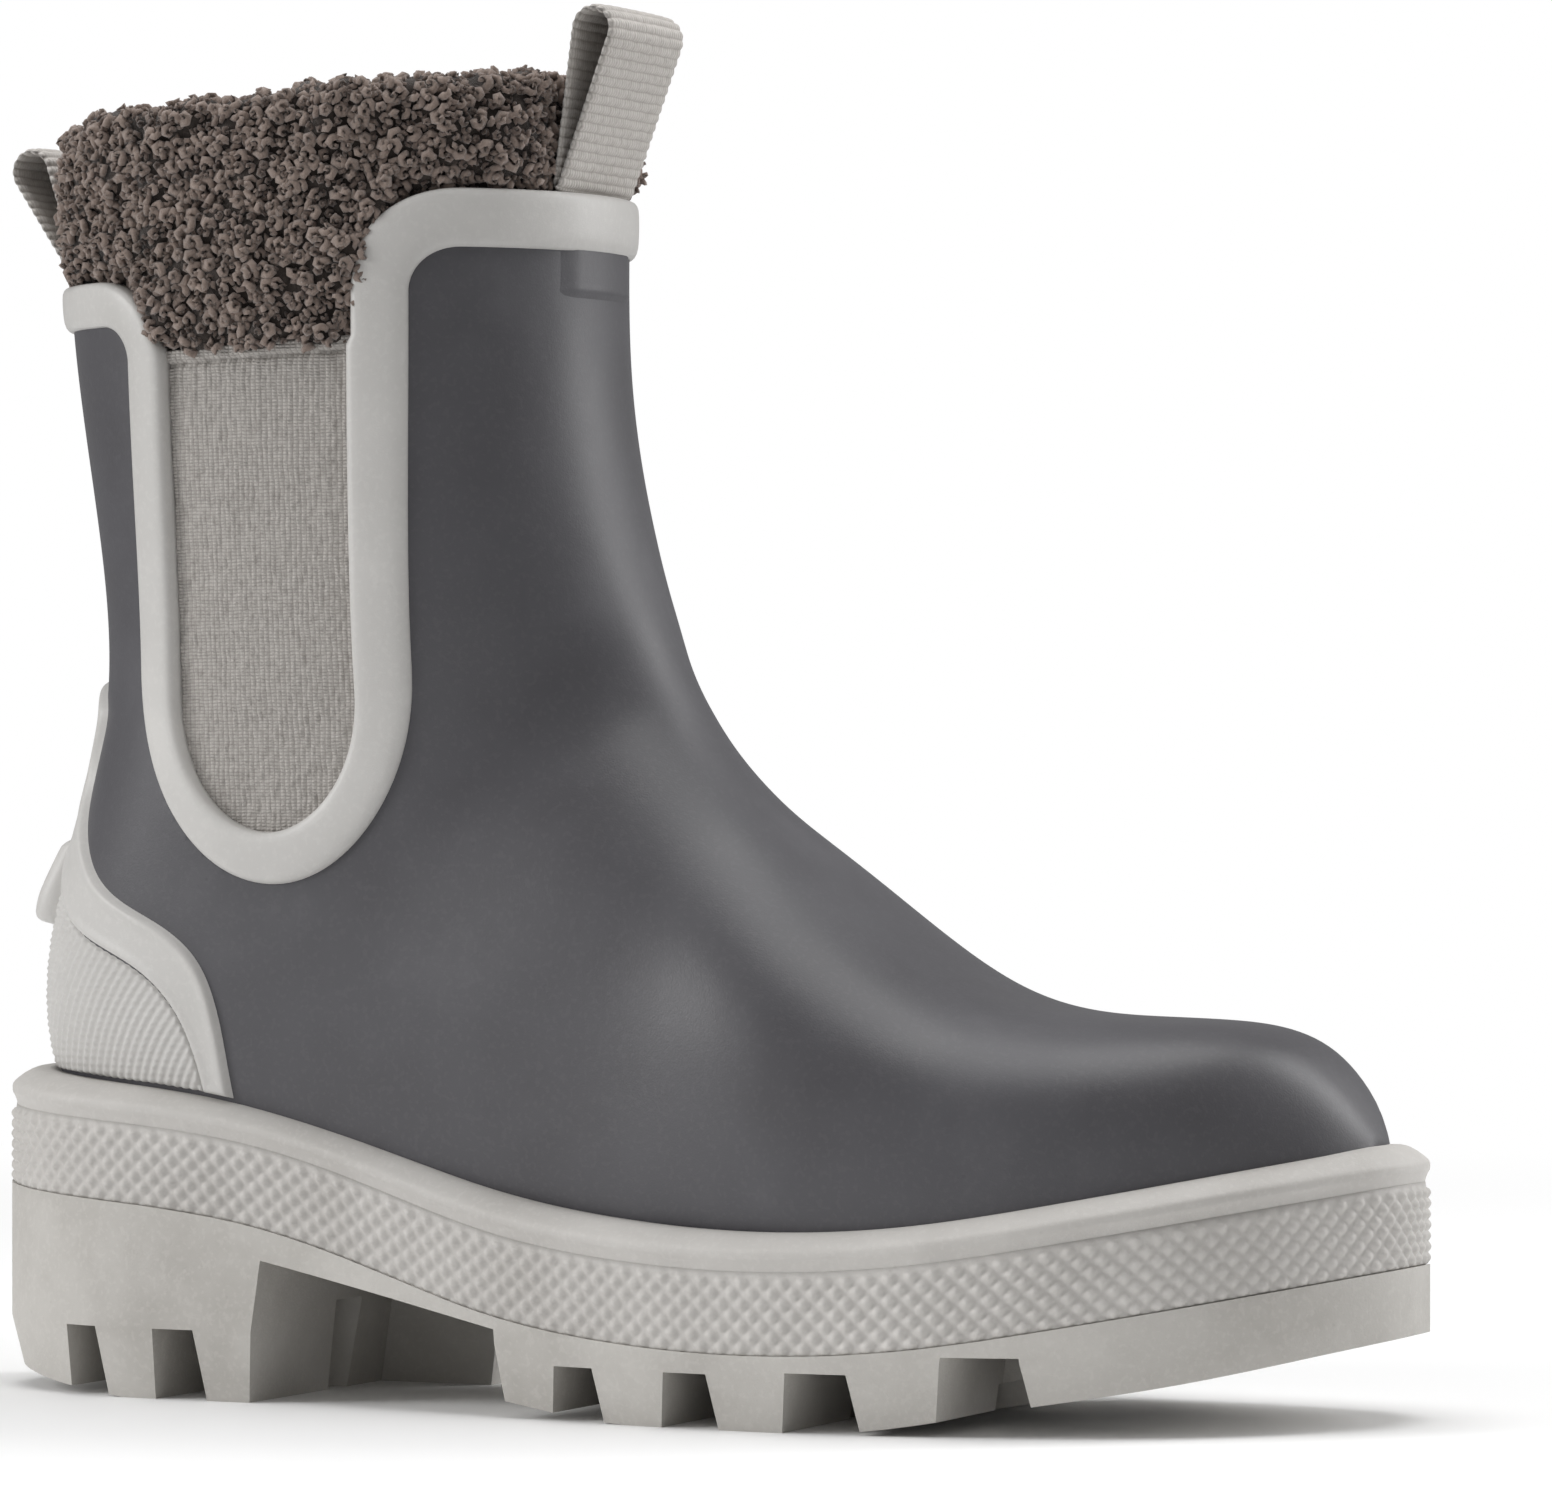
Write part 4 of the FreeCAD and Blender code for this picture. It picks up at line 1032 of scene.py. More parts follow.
cuffSizes = {"low": 192.0, "front": 262.0, "back": 251.0, "gap": 4.2, "thick": 6.0, "bulge": 4.6,
             "around": 300, "lump": 1.7, "clear": 0.9, "tuck": 1.5, "tabRoom": 5.0,
             "backTabRoom": 4.4, "ahead": 40, "behind": 60, "crown": 3.2, "fold": 3.0,
             "outsideRows": 26, "overRows": 12, "insideRows": 24}
pileSizes = {"curl": 1.0, "spread": 0.38, "tilt": 0.8, "spacing": 1.45, "insideSpacing": 1.8,
             "firstSeed": 3}
# first and last row of the cuff that each part of the pile covers
pileZones = {"cuffPileOutside": (3, 29), "cuffPileTop": (26, 41), "cuffPileInside": (37, 58)}


def cuffTop(x):
    # height of the cuff, falling from the front to the back
    front, back = goreFront + cuffSizes["ahead"], goreBack - cuffSizes["behind"]
    share = (front - x) / (front - back)
    fall = (cuffSizes["back"] - cuffSizes["front"]) * share
    return cuffSizes["front"] + fall - cuffSizes["crown"]


def rimHeight(x):
    # height of the collar's edge round the boot, with the notch at the gore
    outside = np.where(x > gore["middle"], rim["front"], rim["back"])
    notch = smoothStep(np.abs(x - gore["middle"]), gore["half"] - 2, gore["half"] + 10)
    return gore["high"] - 2 + (outside - gore["high"] + 2) * notch


def pileEdge(x):
    # lowest height at which pile shows: over the cloth at the gore, tucked in behind the rim
    outside = np.where(x > gore["middle"], rim["front"], rim["back"]) - cuffSizes["tuck"]
    notch = smoothStep(np.abs(x - gore["middle"]), gore["half"] - 1.5, gore["half"] + 12)
    inGore = gore["high"] - 2 + cuffSizes["clear"]
    return inGore + (outside - inGore) * notch


def cuffSheet(parts):
    # rows of points up the outside, over the top and down the inside of the cuff
    turn = np.linspace(0, 2 * math.pi, cuffSizes["around"], endpoint=False)
    probe, _ = fromAxis(turn, np.full(len(turn), 240.0))
    top = cuffTop(probe[:, 0])
    edge = rimHeight(probe[:, 0])
    rows = []
    thick, low, fold = cuffSizes["thick"], cuffSizes["low"], cuffSizes["fold"]
    # the pile is pressed in behind the pull tabs
    pressed = 1 - smoothStep(np.abs(probe[:, 1]), 13, 22)
    room = np.where(probe[:, 0] > legAxis, cuffSizes["tabRoom"], cuffSizes["backTabRoom"])
    bulge = cuffSizes["bulge"] - room * pressed
    for kind, share in parts:
        if kind == "outside":
            z = low + (top - fold - low) * share
            depth = cuffSizes["gap"] - bulge * smoothStep(z, edge - 1, edge + 4)
        elif kind == "over":
            swing = math.pi * share
            wide = (thick + bulge) / 2
            depth = cuffSizes["gap"] - bulge + wide * (1 - math.cos(swing))
            z = top - fold + fold * math.sin(swing)
        else:
            z = top - fold - (top - fold - low) * share
            depth = cuffSizes["gap"] + thick
        places, normals = fromAxis(turn, z + 0 * turn)
        rows.append(places - normals * (depth + 0 * turn)[:, None])
    return np.array(rows)


def makeCurl():
    # one small curl of pile: a short tapering coil
    rings, sides = 8, 4
    points = []
    for k in range(rings):
        share = k / (rings - 1)
        turn = share * 2.6 * math.pi
        radius = 0.86 - 0.5 * share
        centre = np.array([radius * math.cos(turn), radius * math.sin(turn), -0.3 + 2.0 * share])
        out = np.array([math.cos(turn), math.sin(turn), 0])
        thick = 0.72 * math.sin(math.pi * (0.16 + 0.70 * share)) ** 0.5
        for s in range(sides):
            a = 2 * math.pi * s / sides
            ringed = out * math.cos(a) + np.array([0, 0, 1.0]) * math.sin(a)
            points.append(centre + thick * ringed)
    faces = [tuple(f) for f in gridFaces(rings, sides, closeCols=True).tolist()]
    faces.append(tuple(range(sides)))
    faces.append(tuple((rings - 1) * sides + s for s in range(sides)))
    return newPiece("curlStamp", np.array(points), faces, fleeceCloth)


def makeCuff():
    up, bend, down = (cuffSizes[part + "Rows"] for part in ("outside", "over", "inside"))
    rows = cuffSheet([("outside", k / up) for k in range(up + 1)]
                     + [("over", k / bend) for k in range(1, bend)]
                     + [("inside", k / down) for k in range(down + 1)])
    lumps = lumpNoise(rows, 6.5, 2) * cuffSizes["lump"]
    lumps *= smoothStep(np.abs(rows[..., 1]), 8, 24) * 0.75 + 0.25
    normals = gridNormals(rows, closeCols=True)
    away = rows[10] - np.array([legAxis, 0, 0])
    if (normals[10] * away).sum() < 0:
        normals = -normals
    rows = rows + normals * lumps[..., None]
    around = cuffSizes["around"]
    # the core shows between the curls in a dark colour: painted shade
    piece = newPiece("cuffCore", rows, gridFaces(len(rows), around, True, True), fleeceGapShade)
    dress(piece, "boot", "fleece", "fleece_cuff")
    stamp = makeCurl()
    for seed, (name, (first, last)) in enumerate(pileZones.items()):
        part = rows[first:last]
        faces = gridFaces(len(part), around, closeCols=True)
        if name == "cuffPileOutside":
            # nothing shows behind the collar
            flat = part.reshape(-1, 3)
            shown = flat[:, 2] > pileEdge(flat[:, 0])
            faces = faces[shown[faces].all(axis=1)]
        source = newPiece(name + "Source", part, faces, fleeceCloth)
        orientAway(source, inwards=name == "cuffPileInside")
        spacing = pileSizes["insideSpacing" if name == "cuffPileInside" else "spacing"]
        pile = runTree(name, source, pileTree, stamp, fleeceCloth, Size=pileSizes["curl"],
                       Spacing=spacing * mm, Tilt=pileSizes["tilt"],
                       Seed=seed + pileSizes["firstSeed"],
                       **{"Size Spread": pileSizes["spread"]})
        print(name, len(pile.data.polygons), "faces")
        discard(source)
        dress(pile, "boot", "fleece")
    discard(stamp)


def orientAway(source, inwards):
    # faces of a ring point away from the leg's axis, or towards it
    mesh = source.data
    total = 0.0
    for face in mesh.polygons:
        away = face.center - Vector((legAxis * mm, 0, face.center.z - 0.004))
        total += away.dot(face.normal) * face.area
    if (total > 0) == inwards:
        mesh.flip_normals()


makeCuff()
print("cuff made")


shaftSizes = {"low": 104.4, "high": 194.0, "around": 220, "rows": 84, "inner": 6.6, "outer": 3.8,
              "lump": 0.6, "lumpSize": 3.6}


def makeShaftLining():
    turn = np.linspace(0, 2 * math.pi, shaftSizes["around"], endpoint=False)
    heights = np.linspace(shaftSizes["low"], shaftSizes["high"], shaftSizes["rows"])
    turn, z = np.meshgrid(turn, heights)
    places, normals = fromAxis(turn, z)
    lumps = lumpNoise(places, shaftSizes["lumpSize"], 21) * shaftSizes["lump"]
    inner = places - normals * (shaftSizes["inner"] + lumps)[..., None]
    outer = (places - normals * shaftSizes["outer"])[::-1]
    points = np.vstack([inner, outer])
    piece = newPiece("shaftLining", points, gridFaces(len(points), points.shape[1], True, True),
                     liningFleece)
    return dress(piece, "boot", "fleece", "shaft_lining")


footSizes = {"depth": 6.4, "rows": 190, "around": 150, "thick": 2.4, "top": 104.6,
             "belowWelt": 3.6, "sunk": 0.3, "lump": 0.5, "lumpSize": 3.4}


def makeFootLining():
    rows, around = footSizes["rows"], footSizes["around"]
    points = formGrid(footSizes["depth"], rows, around)
    normals = gridNormals(points, closeCols=True)
    if (normals * (points - points.mean(axis=(0, 1)))).sum() < 0:
        normals = -normals
    lumps = lumpNoise(points, footSizes["lumpSize"], 23) * footSizes["lump"]
    points = points - normals * (footSizes["sunk"] + lumps)[..., None]
    flat = points.reshape(-1, 3)
    faces = gridFaces(rows, around, closeCols=True)
    fan = [(j, (j + 1) % around, len(flat)) for j in range(around)]
    flat = np.vstack([flat, flat[:around].mean(axis=0)])
    kept = flat[:, 2] > weltHeight(flat[:, 0]) - footSizes["belowWelt"]
    kept &= flat[:, 2] < footSizes["top"]
    faces = [tuple(f) for f in faces[kept[faces].all(axis=1)].tolist()]
    faces += [f for f in fan if kept[list(f)].all()]
    piece = newPiece("footLining", flat, faces, liningFleece, faceAway=(-10, 0, 60))
    piece.data.flip_normals()
    thicken(piece, footSizes["thick"])
    return dress(piece, "boot", "felt", "foot_lining")


coverSizes = {"back": -126.0, "front": 128.0, "rows": 190, "across": 56, "rise": 3.4,
              "margin": 7.4, "thick": 2.2, "lump": 0.45, "lumpSize": 3.4}


def makeFootbedCover():
    across = coverSizes["across"]
    swing = 0.5 - 0.5 * np.cos(np.linspace(0, math.pi, across))
    rows = []
    for x in np.linspace(coverSizes["back"], coverSizes["front"], coverSizes["rows"]):
        z = weltHeight(x) + coverSizes["rise"]
        left, _ = onForm([(x, 0, z)], [(0, -1, 0)])
        right, _ = onForm([(x, 0, z)], [(0, 1, 0)])
        low, high = left[0, 1] + coverSizes["margin"], right[0, 1] - coverSizes["margin"]
        y = low + (high - low) * swing
        rows.append(np.column_stack([np.full(across, x), y, np.full(across, z)]))
    points = np.array(rows)
    points[..., 2] += lumpNoise(points, coverSizes["lumpSize"], 25) * coverSizes["lump"]
    piece = newPiece("footbedCover", points, gridFaces(len(rows), across), liningFleece,
                     faceAway=(0, 0, -400))
    thicken(piece, coverSizes["thick"])
    return dress(piece, "boot", "fleece", "footbed_cover")


makeShaftLining()
makeFootLining()
makeFootbedCover()
print("linings made")


# ---- heel guard: smooth band, ribbed panel and kick ledge

guardEdge = ((-80.0, 50.0), (-83.5, 77.0), (-87.5, 86.0), (-95.5, 92.5), (-112.0, 101.5),
             (-117.5, 110.0), (-118.0, 124.0), (-114.5, 135.0), (-118.0, 140.0),
             (-150.0, 141.0))
panelEdge = ((-88.0, 50.0), (-90.0, 68.0), (-93.5, 75.5), (-100.0, 82.0), (-110.0, 87.0),
             (-119.0, 91.5), (-124.5, 97.5), (-127.5, 106.0), (-150.0, 107.0))
guardSizes = {"low": 53.0, "high": 143.5, "reach": 84, "columns": 380, "rows": 250,
              "thick": 1.45, "bead": 0.25, "panel": 0.35, "rib": 0.62, "ribPitch": 1.95,
              "course": 1.4, "ribCentre": (-67.0, 49.0)}


def distanceInside(x, z, outline):
    # distance from the side-view outline, positive towards the heel
    curve = smoothCurve(outline, 260)
    a, b = curve[:-1], curve[1:]
    flatX, flatZ = x.ravel(), z.ravel()
    nearest = np.full(len(flatX), 1e9)
    crossings = np.zeros(len(flatX), int)
    closing = np.vstack([curve, [[-190, curve[-1, 1]], [-190, curve[0, 1]]], curve[:1]])
    for (ax, az), (bx, bz) in zip(a, b):
        dx, dz = bx - ax, bz - az
        t = np.clip(((flatX - ax) * dx + (flatZ - az) * dz) / (dx * dx + dz * dz), 0, 1)
        nearest = np.minimum(nearest, np.hypot(flatX - ax - t * dx, flatZ - az - t * dz))
    for (ax, az), (bx, bz) in zip(closing[:-1], closing[1:]):
        if az == bz:
            continue
        cut = (flatZ > min(az, bz)) & (flatZ <= max(az, bz))
        crossings += cut & (flatX < ax + (flatZ - az) / (bz - az) * (bx - ax))
    return np.where(crossings % 2 == 1, nearest, -nearest).reshape(x.shape)


def heelGrid(columns, heights, reach):
    # points round the heel at the given heights, out to reach each side of the back
    turn = np.linspace(math.pi - reach, math.pi + reach, columns)[None, :]
    turn = turn + np.zeros((len(heights), 1))
    return fromAxis(turn, heights[:, None] + 0 * turn)


def keptFaces(shape, kept):
    faces = gridFaces(*shape)
    flags = kept.ravel()
    return faces[flags[faces].any(axis=1)]


def makeGuard():
    heights = np.linspace(guardSizes["low"], guardSizes["high"], guardSizes["rows"])
    places, normals = heelGrid(guardSizes["columns"], heights, math.radians(guardSizes["reach"]))
    x, z = places[..., 0], places[..., 2]
    outer = distanceInside(x, z, guardEdge)
    panel = distanceInside(x, z, panelEdge)
    weltGap = z - weltHeight(x) - 0.6
    inBand = np.minimum(np.minimum(outer, -panel - 0.25), weltGap)
    rise = smoothStep(inBand, -0.25, 1.15)
    bead = guardSizes["bead"] * np.exp(-((inBand - 1.7) / 0.9) ** 2)
    lift = -0.55 + rise * (guardSizes["thick"] + 0.55) + bead
    lift += 0.05 * lumpNoise(places, 9.0, 31)
    band = newPiece("heelGuardBand", places + normals * lift[..., None],
                    keptFaces(x.shape, inBand > -0.7), paleRubber, faceAway=(-70, 0, 90))
    thicken(band, 0.7)
    dress(band, "boot", "pale_rubber", "heel_guard_band")

    # beaded ribs curve about a point near the arch, and only the rows of beads run round the back
    centreX, centreZ = guardSizes["ribCentre"]
    ribs = np.sin(np.hypot(x - centreX, z - centreZ) / guardSizes["ribPitch"] * math.pi) ** 2
    courses = np.sin(z / guardSizes["course"] * math.pi) ** 2
    sideways = smoothStep(np.abs(normals[..., 1]), 0.25, 0.6)
    relief = sideways * ribs * (0.55 + 0.45 * courses) + (1 - sideways) * courses * 0.7
    inPanel = np.minimum(panel + 0.5, weltGap)
    rise = smoothStep(inPanel, -0.1, 0.9)
    lift = -0.5 + rise * (0.5 + guardSizes["panel"] + guardSizes["rib"] * relief)
    panelPiece = newPiece("heelGuardPanel", places + normals * lift[..., None],
                          keptFaces(x.shape, inPanel > -0.5), paleRubber, faceAway=(-70, 0, 90))
    thicken(panelPiece, 0.5)
    dress(panelPiece, "boot", "pale_rubber", "heel_guard_panel")


makeGuard()

ledgeSizes = {"half": 17.5, "columns": 120, "rows": 96}
ledgeProfile = ((91.6, -0.6), (92.2, 1.2), (92.7, 3.2), (93.4, 4.4), (94.6, 4.95), (96.4, 5.15),
                (98.4, 5.1), (101.0, 4.7), (104.0, 4.1), (106.5, 3.6), (107.9, 3.2), (108.7, 2.3),
                (109.2, 1.2), (109.8, -0.6))


def makeLedge():
    share = np.linspace(0, 1, ledgeSizes["rows"])
    profile = np.array(ledgeProfile)
    steps = runningLength(profile)
    heights = np.interp(share * steps[-1], steps, profile[:, 0])
    rises = np.interp(share * steps[-1], steps, profile[:, 1])
    for _ in range(3):
        heights[1:-1] = (heights[:-2] + 2 * heights[1:-1] + heights[2:]) / 4
        rises[1:-1] = (rises[:-2] + 2 * rises[1:-1] + rises[2:]) / 4
    reach = math.atan2(ledgeSizes["half"] + 2.0, 56.0)
    places, normals = heelGrid(ledgeSizes["columns"], heights, reach)
    normals[..., 2] = 0
    normals /= np.linalg.norm(normals, axis=2)[..., None]
    side = np.abs(places[..., 1])
    fade = np.sqrt(np.clip(1 - np.clip((side - ledgeSizes["half"] + 3) / 3.4, 0, 1) ** 2, 0, 1))
    lift = -0.6 + fade * (rises[:, None] + 0.6)
    piece = newPiece("kickLedge", places + normals * lift[..., None], gridFaces(*side.shape),
                     paleRubber, faceAway=(-70, 0, 100))
    thicken(piece, 0.9)
    return dress(piece, "boot", "pale_rubber", "kick_ledge")


makeLedge()
print("heel guard made")


# ---- welt, foxing band and its studs

def roundSole(name, profile, around):
    # a closed profile of (inset, height over the welt's top) carried round the sole's edge
    plan, inward, length = planOutline(around)
    welt = weltHeight(plan[:, 0])
    points = np.stack([np.column_stack([plan + inward * inset, welt + height])
                       for inset, height in profile], axis=1)
    piece = newPiece(name, points, gridFaces(*points.shape[:2], True, True), weltRubber)
    return piece, inward, length


weltProfile = ((0.28, -5.0), (0.08, -4.7), (0.0, -4.3), (0.0, -3.5), (0.12, -3.1), (0.45, -2.65),
               (1.2, -2.0), (2.4, -1.15), (3.6, -0.5), (4.6, -0.12), (5.6, 0.05), (7.2, 0.05),
               (9.0, 0.0), (9.0, -7.6), (1.1, -7.6), (0.98, -7.0), (0.8, -6.2), (0.52, -5.5))
studSizes = {"rows": 7, "rowPitch": 2.05, "pitch": 4.2, "rise": 1.0, "top": -8.0, "inset": 0.75,
             "around": 1450, "steps": 40, "sharp": 1.25}


def foxingLine():
    # closed profile: down the studded face, then back up inside the sole
    deep = studSizes["inset"]
    low = studSizes["top"] - studSizes["rows"] * studSizes["rowPitch"]
    face = np.linspace(studSizes["top"], low, studSizes["steps"])
    face = [(deep, z) for z in face]
    return [(deep + 0.15, -7.0), *face, (deep + 0.1, -22.7), (3.0, -22.7), (3.0, -7.1)]


def makeStudTree():
    # lifts a lattice of rounded studs out of a band, by the band's own "lattice" and "outward"
    tree, given, result = newTree("studs on band", {"Material": "Material", "Rise": 0.001,
                                                    "Sharpness": 1.0})
    lattice, outward = (
        treeNode(tree, "GeometryNodeInputNamedAttribute", {"Name": label},
                 data_type="FLOAT_VECTOR").outputs["Attribute"] for label in ("lattice", "outward"))
    parts = treeNode(tree, "ShaderNodeSeparateXYZ", (), {0: lattice})
    height = mathNode(tree, "MULTIPLY", *[
        mathNode(tree, "ABSOLUTE", mathNode(tree, "COSINE", mathNode(
            tree, "MULTIPLY", mathNode(tree, slant, parts.outputs[0], parts.outputs[1]), math.pi)))
        for slant in ("ADD", "SUBTRACT")])
    height = mathNode(tree, "POWER", height, given.outputs["Sharpness"])
    height = mathNode(tree, "MULTIPLY", height, parts.outputs[2])
    height = mathNode(tree, "MULTIPLY", height, given.outputs["Rise"])
    lift = treeNode(tree, "ShaderNodeVectorMath", (), {0: outward, 3: height}, operation="SCALE")
    raised = treeNode(tree, "GeometryNodeSetPosition", (), {"Geometry": given.outputs["Geometry"],
                                                            "Offset": lift.outputs[0]})
    finishTree(tree, given, result, raised.outputs[0])
    return tree


def makeFoxing():
    profile = foxingLine()
    source, inward, length = roundSole("foxingSource", profile, studSizes["around"])
    shape = (len(inward), len(profile))
    count = round(length / studSizes["pitch"])
    along = np.linspace(0, count, shape[0], endpoint=False)[:, None] + np.zeros(shape)
    below = np.array([studSizes["top"] - z for _, z in profile])
    rows = below / (2 * studSizes["rowPitch"]) - 0.25 + np.zeros(shape)
    onFace = np.zeros(shape)
    onFace[:, 1:1 + studSizes["steps"]] = 1.0
    onFace[:, 1] = 0.0
    lattice = np.stack([along, rows, onFace], axis=-1)
    outward = np.concatenate([-inward, np.zeros((len(inward), 1))], axis=1)
    outward = outward[:, None, :] + np.zeros((*shape, 3))
    for label, values in (("lattice", lattice), ("outward", outward)):
        layer = source.data.attributes.new(label, "FLOAT_VECTOR", "POINT")
        layer.data.foreach_set("vector", values.ravel())
    piece = runTree("foxingBand", source, makeStudTree(), None, weltRubber,
                    Rise=studSizes["rise"] * mm, Sharpness=studSizes["sharp"])
    discard(source)
    for label in ("lattice", "outward"):
        piece.data.attributes.remove(piece.data.attributes[label])
    return dress(piece, "boot", "sole_trim", "foxing_band")


weltPiece, _, _ = roundSole("weltStrip", weltProfile, 900)
dress(weltPiece, "boot", "sole_trim", "welt_strip")
makeFoxing()
print("welt and foxing made")


# ---- outsole: the moulded tread with its edges softened

def makeOutsole():
    mesh = nodes["outsole"].data.copy()
    mesh.name = "outsoleTread"
    piece = addObject("outsoleTread", mesh)
    mesh.materials.clear()
    mesh.materials.append(soleRubber)
    work = bmesh.new()
    work.from_mesh(mesh)
    bmesh.ops.remove_doubles(work, verts=work.verts, dist=1e-5)
    bmesh.ops.dissolve_limit(work, angle_limit=math.radians(1.5), verts=work.verts,
                             edges=work.edges)
    for edge in work.edges:
        sharp = len(edge.link_faces) == 2 and edge.calc_face_angle(0) > math.radians(28)
        edge.smooth = not sharp
    for face in work.faces:
        face.smooth = True
    work.to_mesh(mesh)
    work.free()
    soften = piece.modifiers.new("soft edges", "BEVEL")
    soften.width = 0.55 * mm
    soften.segments = 2
    soften.limit_method = "ANGLE"
    soften.angle_limit = math.radians(35)
    soften.harden_normals = True
    return dress(piece, "boot", "outsole", "outsole")


makeOutsole()
print("outsole made")


# ---- pull tabs: loops of ribbed webbing

tabSizes = {"thick": 1.5, "loop": 5.0, "rib": 0.34, "ribPitch": 1.9, "edgeWave": 0.35}


# base in the side view, lean in degrees, height and half width of each loop
tabs = {"frontPullTab": ("front_pull_tab", (-19.295, 235.0), 14.0, 37.0, 17.0),
        "rearPullTab": ("rear_pull_tab", (-126.059, 218.5), -26.0, 31.5, 15.0)}


def makeTab(name, replaced, base, lean, height, halfWidth):
    thick = tabSizes["thick"]
    low = thick * 0.62
    span = height - low - tabSizes["loop"]
    footRadius = thick / 2 + 0.02
    headRadius = tabSizes["loop"] - thick / 2
    turn = math.radians(lean)
    axis = np.array([math.sin(turn), math.cos(turn)])
    side = np.array([axis[1], -axis[0]])
    foot = np.array([base[0], base[1] + low + 0.35])
    head = foot + axis * span
    slope = math.asin((headRadius - footRadius) / span)
    line = []
    for a in np.linspace(-math.pi + slope, -slope, 12)[1:-1]:
        # round the bottom fold, towards the front ply
        line.append(foot + footRadius * (side * math.cos(a) + axis * math.sin(a)))
    rightLow = foot + footRadius * (side * math.cos(slope) - axis * math.sin(slope))
    rightHigh = head + headRadius * (side * math.cos(slope) - axis * math.sin(slope))
    line += [rightLow + (rightHigh - rightLow) * t for t in np.linspace(0, 1, 40)[1:]]
    for a in np.linspace(-slope, math.pi + slope, 46)[1:]:
        line.append(head + headRadius * (side * math.cos(a) + axis * math.sin(a)))
    leftLow = foot + footRadius * (-side * math.cos(slope) - axis * math.sin(slope))
    leftHigh = np.array(line[-1])
    line += [leftHigh + (leftLow - leftHigh) * t for t in np.linspace(0, 1, 40)[1:-1]]
    line = np.array(line)
    # even steps along the loop, with its corners eased
    loop = np.vstack([line, line[:1]])
    steps = runningLength(loop)
    around = int(steps[-1] / 0.24)
    wanted = np.linspace(0, steps[-1], around, endpoint=False)
    path = np.column_stack([np.interp(wanted, steps, loop[:, k]) for k in (0, 1)])
    for _ in range(6):
        path = (np.roll(path, 1, axis=0) + 2 * path + np.roll(path, -1, axis=0)) / 4
    along = np.roll(path, -1, axis=0) - np.roll(path, 1, axis=0)
    along /= np.linalg.norm(along, axis=1)[:, None]
    out = np.column_stack([along[:, 1], -along[:, 0]])
    if (out * (path - path.mean(axis=0))).sum() < 0:
        out = -out
    ribs = round(steps[-1] / tabSizes["ribPitch"])
    wave = np.abs(np.sin(wanted / steps[-1] * ribs * math.pi)) ** 0.7
    across = np.concatenate([np.linspace(-1, 1, 25), np.linspace(1, -1, 25)])
    outer = np.concatenate([np.ones(25), -np.ones(25)])
    edge = np.sqrt(np.clip(1 - np.abs(across) ** 22, 0, 1))
    reach = halfWidth - tabSizes["edgeWave"] * (1 - wave)
    rise = (thick / 2 - tabSizes["rib"] * (1 - wave)[:, None] * (np.abs(across) < 0.93)) * edge
    offset = rise * outer
    y = reach[:, None] * across
    # a faint lengthways twill across each rib
    offset = offset + 0.045 * np.sin(across * halfWidth / 1.1 * math.pi) * outer * edge
    curl = 0.35 * (np.abs(across) ** 3)
    points = np.stack([path[:, None, 0] + out[:, None, 0] * (offset - curl),
                       y, path[:, None, 1] + out[:, None, 1] * (offset - curl)], axis=-1)
    piece = newPiece(name, points, gridFaces(*points.shape[:2], True, True), webbingCloth)

    def alongLoop(flat):
        spots = flat[:, [0, 2]] / mm
        nearest = [int(np.argmin(((path - spot) ** 2).sum(axis=1))) for spot in spots]
        lengthways = wanted[nearest] / (steps[-1] / ribs) * tabSizes["ribPitch"] * mm
        return np.column_stack([flat[:, 1], lengthways])

    addClothMap(piece, alongLoop)
    print(name, "webbing length", round(float(steps[-1]), 1))
    return dress(piece, replaced, "webbing", replaced)


for name, sizes in tabs.items():
    makeTab(name, *sizes)
print("pull tabs made")


# ---- inner parts keep their own shapes and take a finish

hiddenFinishes = {"midsole": (foamFinish, "foam"), "shank": (steelFinish, "steel"),
                  "insole_board": (boardFinish, "board"), "footbed": (foamFinish, "foam"),
                  "toe_puff": (stiffFinish, "stiffener"),
                  "heel_counter": (stiffFinish, "stiffener"),
                  "front_tab_anchor": (webbingCloth, "webbing"),
                  "rear_tab_anchor": (webbingCloth, "webbing")}
for name, (finish, slotName) in hiddenFinishes.items():
    part = nodes[name]
    part.data.materials.clear()
    part.data.materials.append(finish)
print("inner parts finished")


# ---- floor, light and camera

studio = {"floor": 30.0, "sky": 0.29, "fade": (0.30, 0.95), "aim": (-0.01, 0, 0.12)}
# place, width and height, and power of each light
lights = {"overhead": ((0.12, 0.0, 1.6), (1.4, 1.3), 18.5),
          "left": ((-1.4, -1.0, 0.7), (0.7, 1.0), 16.5),
          "right": ((1.0, 0.95, 0.7), (0.4, 1.3), 11.0)}
view = {"lens": 174.7, "sensor": 36.0, "shift": (0.060, -0.010), "clip": (0.05, 20),
        "place": (0.6183, -1.3259, 0.130), "turn": 25}


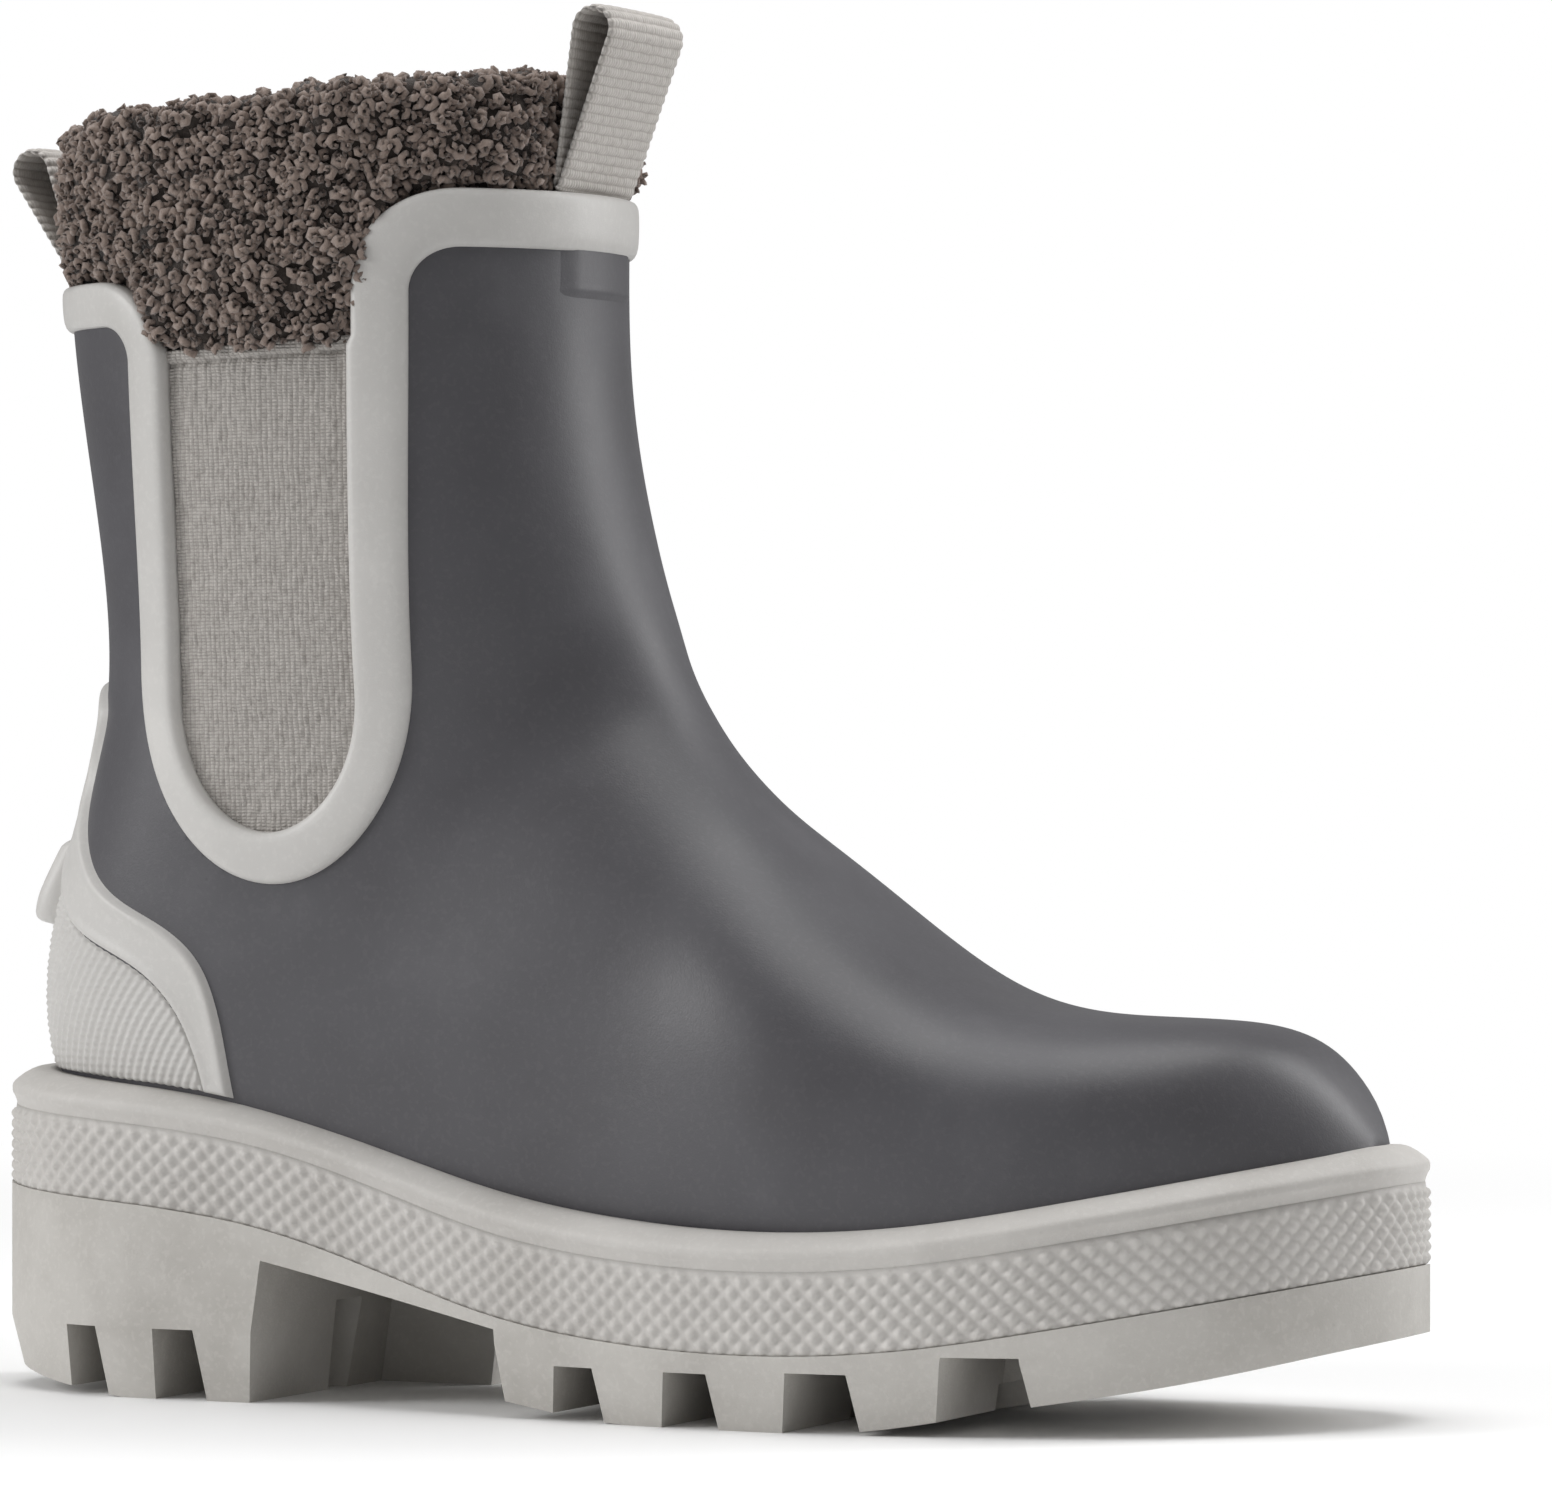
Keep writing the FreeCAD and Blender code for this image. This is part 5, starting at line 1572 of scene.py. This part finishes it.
def makeFloor():
    mesh = bpy.data.meshes.new("floor")
    work = bmesh.new()
    bmesh.ops.create_grid(work, x_segments=8, y_segments=8, size=studio["floor"])
    work.to_mesh(mesh)
    work.free()
    floor = addObject("floor", mesh)
    material, tree, shader, place = newFinish("pale floor")
    tone = placeGroup(tree, toneGroup, {"Base": (0.93,) * 3 + (1,), "Dark": (0.92,) * 3 + (1,),
                                        "Light": (0.94,) * 3 + (1,), "Patch Scale": 3.0},
                      {"Vector": place})
    tree.links.new(tone.outputs["Color"], shader.inputs["Base Color"])
    setShader(shader, {"Roughness": 0.7, "Specular IOR Level": 0.2})
    # away from the boot the floor melts into the white surroundings
    reach = tree.nodes.new("ShaderNodeVectorMath")
    reach.operation = "LENGTH"
    tree.links.new(place, reach.inputs[0])
    far = rangeNode(tree, reach.outputs["Value"], studio["fade"][0], studio["fade"][1], 0.0, 1.0)
    glow = tree.nodes.new("ShaderNodeEmission")
    seen = tree.nodes.new("ShaderNodeLightPath").outputs["Is Camera Ray"]
    tree.links.new(mathNode(tree, "MULTIPLY_ADD", seen, 1.0 - studio["sky"], studio["sky"]),
                   glow.inputs["Strength"])
    blend = tree.nodes.new("ShaderNodeMixShader")
    tree.links.new(far, blend.inputs[0])
    tree.links.new(shader.outputs[0], blend.inputs[1])
    tree.links.new(glow.outputs[0], blend.inputs[2])
    tree.links.new(blend.outputs[0], tree.nodes["Material Output"].inputs["Surface"])
    mesh.materials.append(material)


def softLight(name, place, size, power):
    light = bpy.data.lights.new(name, "AREA")
    light.shape = "RECTANGLE"
    light.size, light.size_y = size
    light.energy = power
    lamp = addObject(name, light)
    lamp.location = place
    towards = Vector(studio["aim"]) - Vector(place)
    lamp.rotation_euler = towards.to_track_quat("-Z", "Y").to_euler()


makeFloor()
scene = bpy.context.scene
world = bpy.data.worlds.new("studio")
world.use_nodes = True
sky = world.node_tree.nodes["Background"]
sky.inputs["Color"].default_value = (1, 1, 1, 1)
skySeen = world.node_tree.nodes.new("ShaderNodeLightPath").outputs["Is Camera Ray"]
world.node_tree.links.new(mathNode(world.node_tree, "MULTIPLY_ADD", skySeen, 1.0 - studio["sky"],
                                   studio["sky"]), sky.inputs["Strength"])
scene.world = world
scene.view_settings.view_transform = "Standard"
for name, (place, size, power) in lights.items():
    softLight(name, place, size, power)

camera = bpy.data.cameras.new("camera")
camera.lens, camera.sensor_width = view["lens"], view["sensor"]
camera.shift_x, camera.shift_y = view["shift"]
camera.clip_start, camera.clip_end = view["clip"]
eye = addObject("camera", camera)
eye.location = view["place"]
eye.rotation_euler = (math.radians(90), 0, math.radians(view["turn"]))
scene.camera = eye
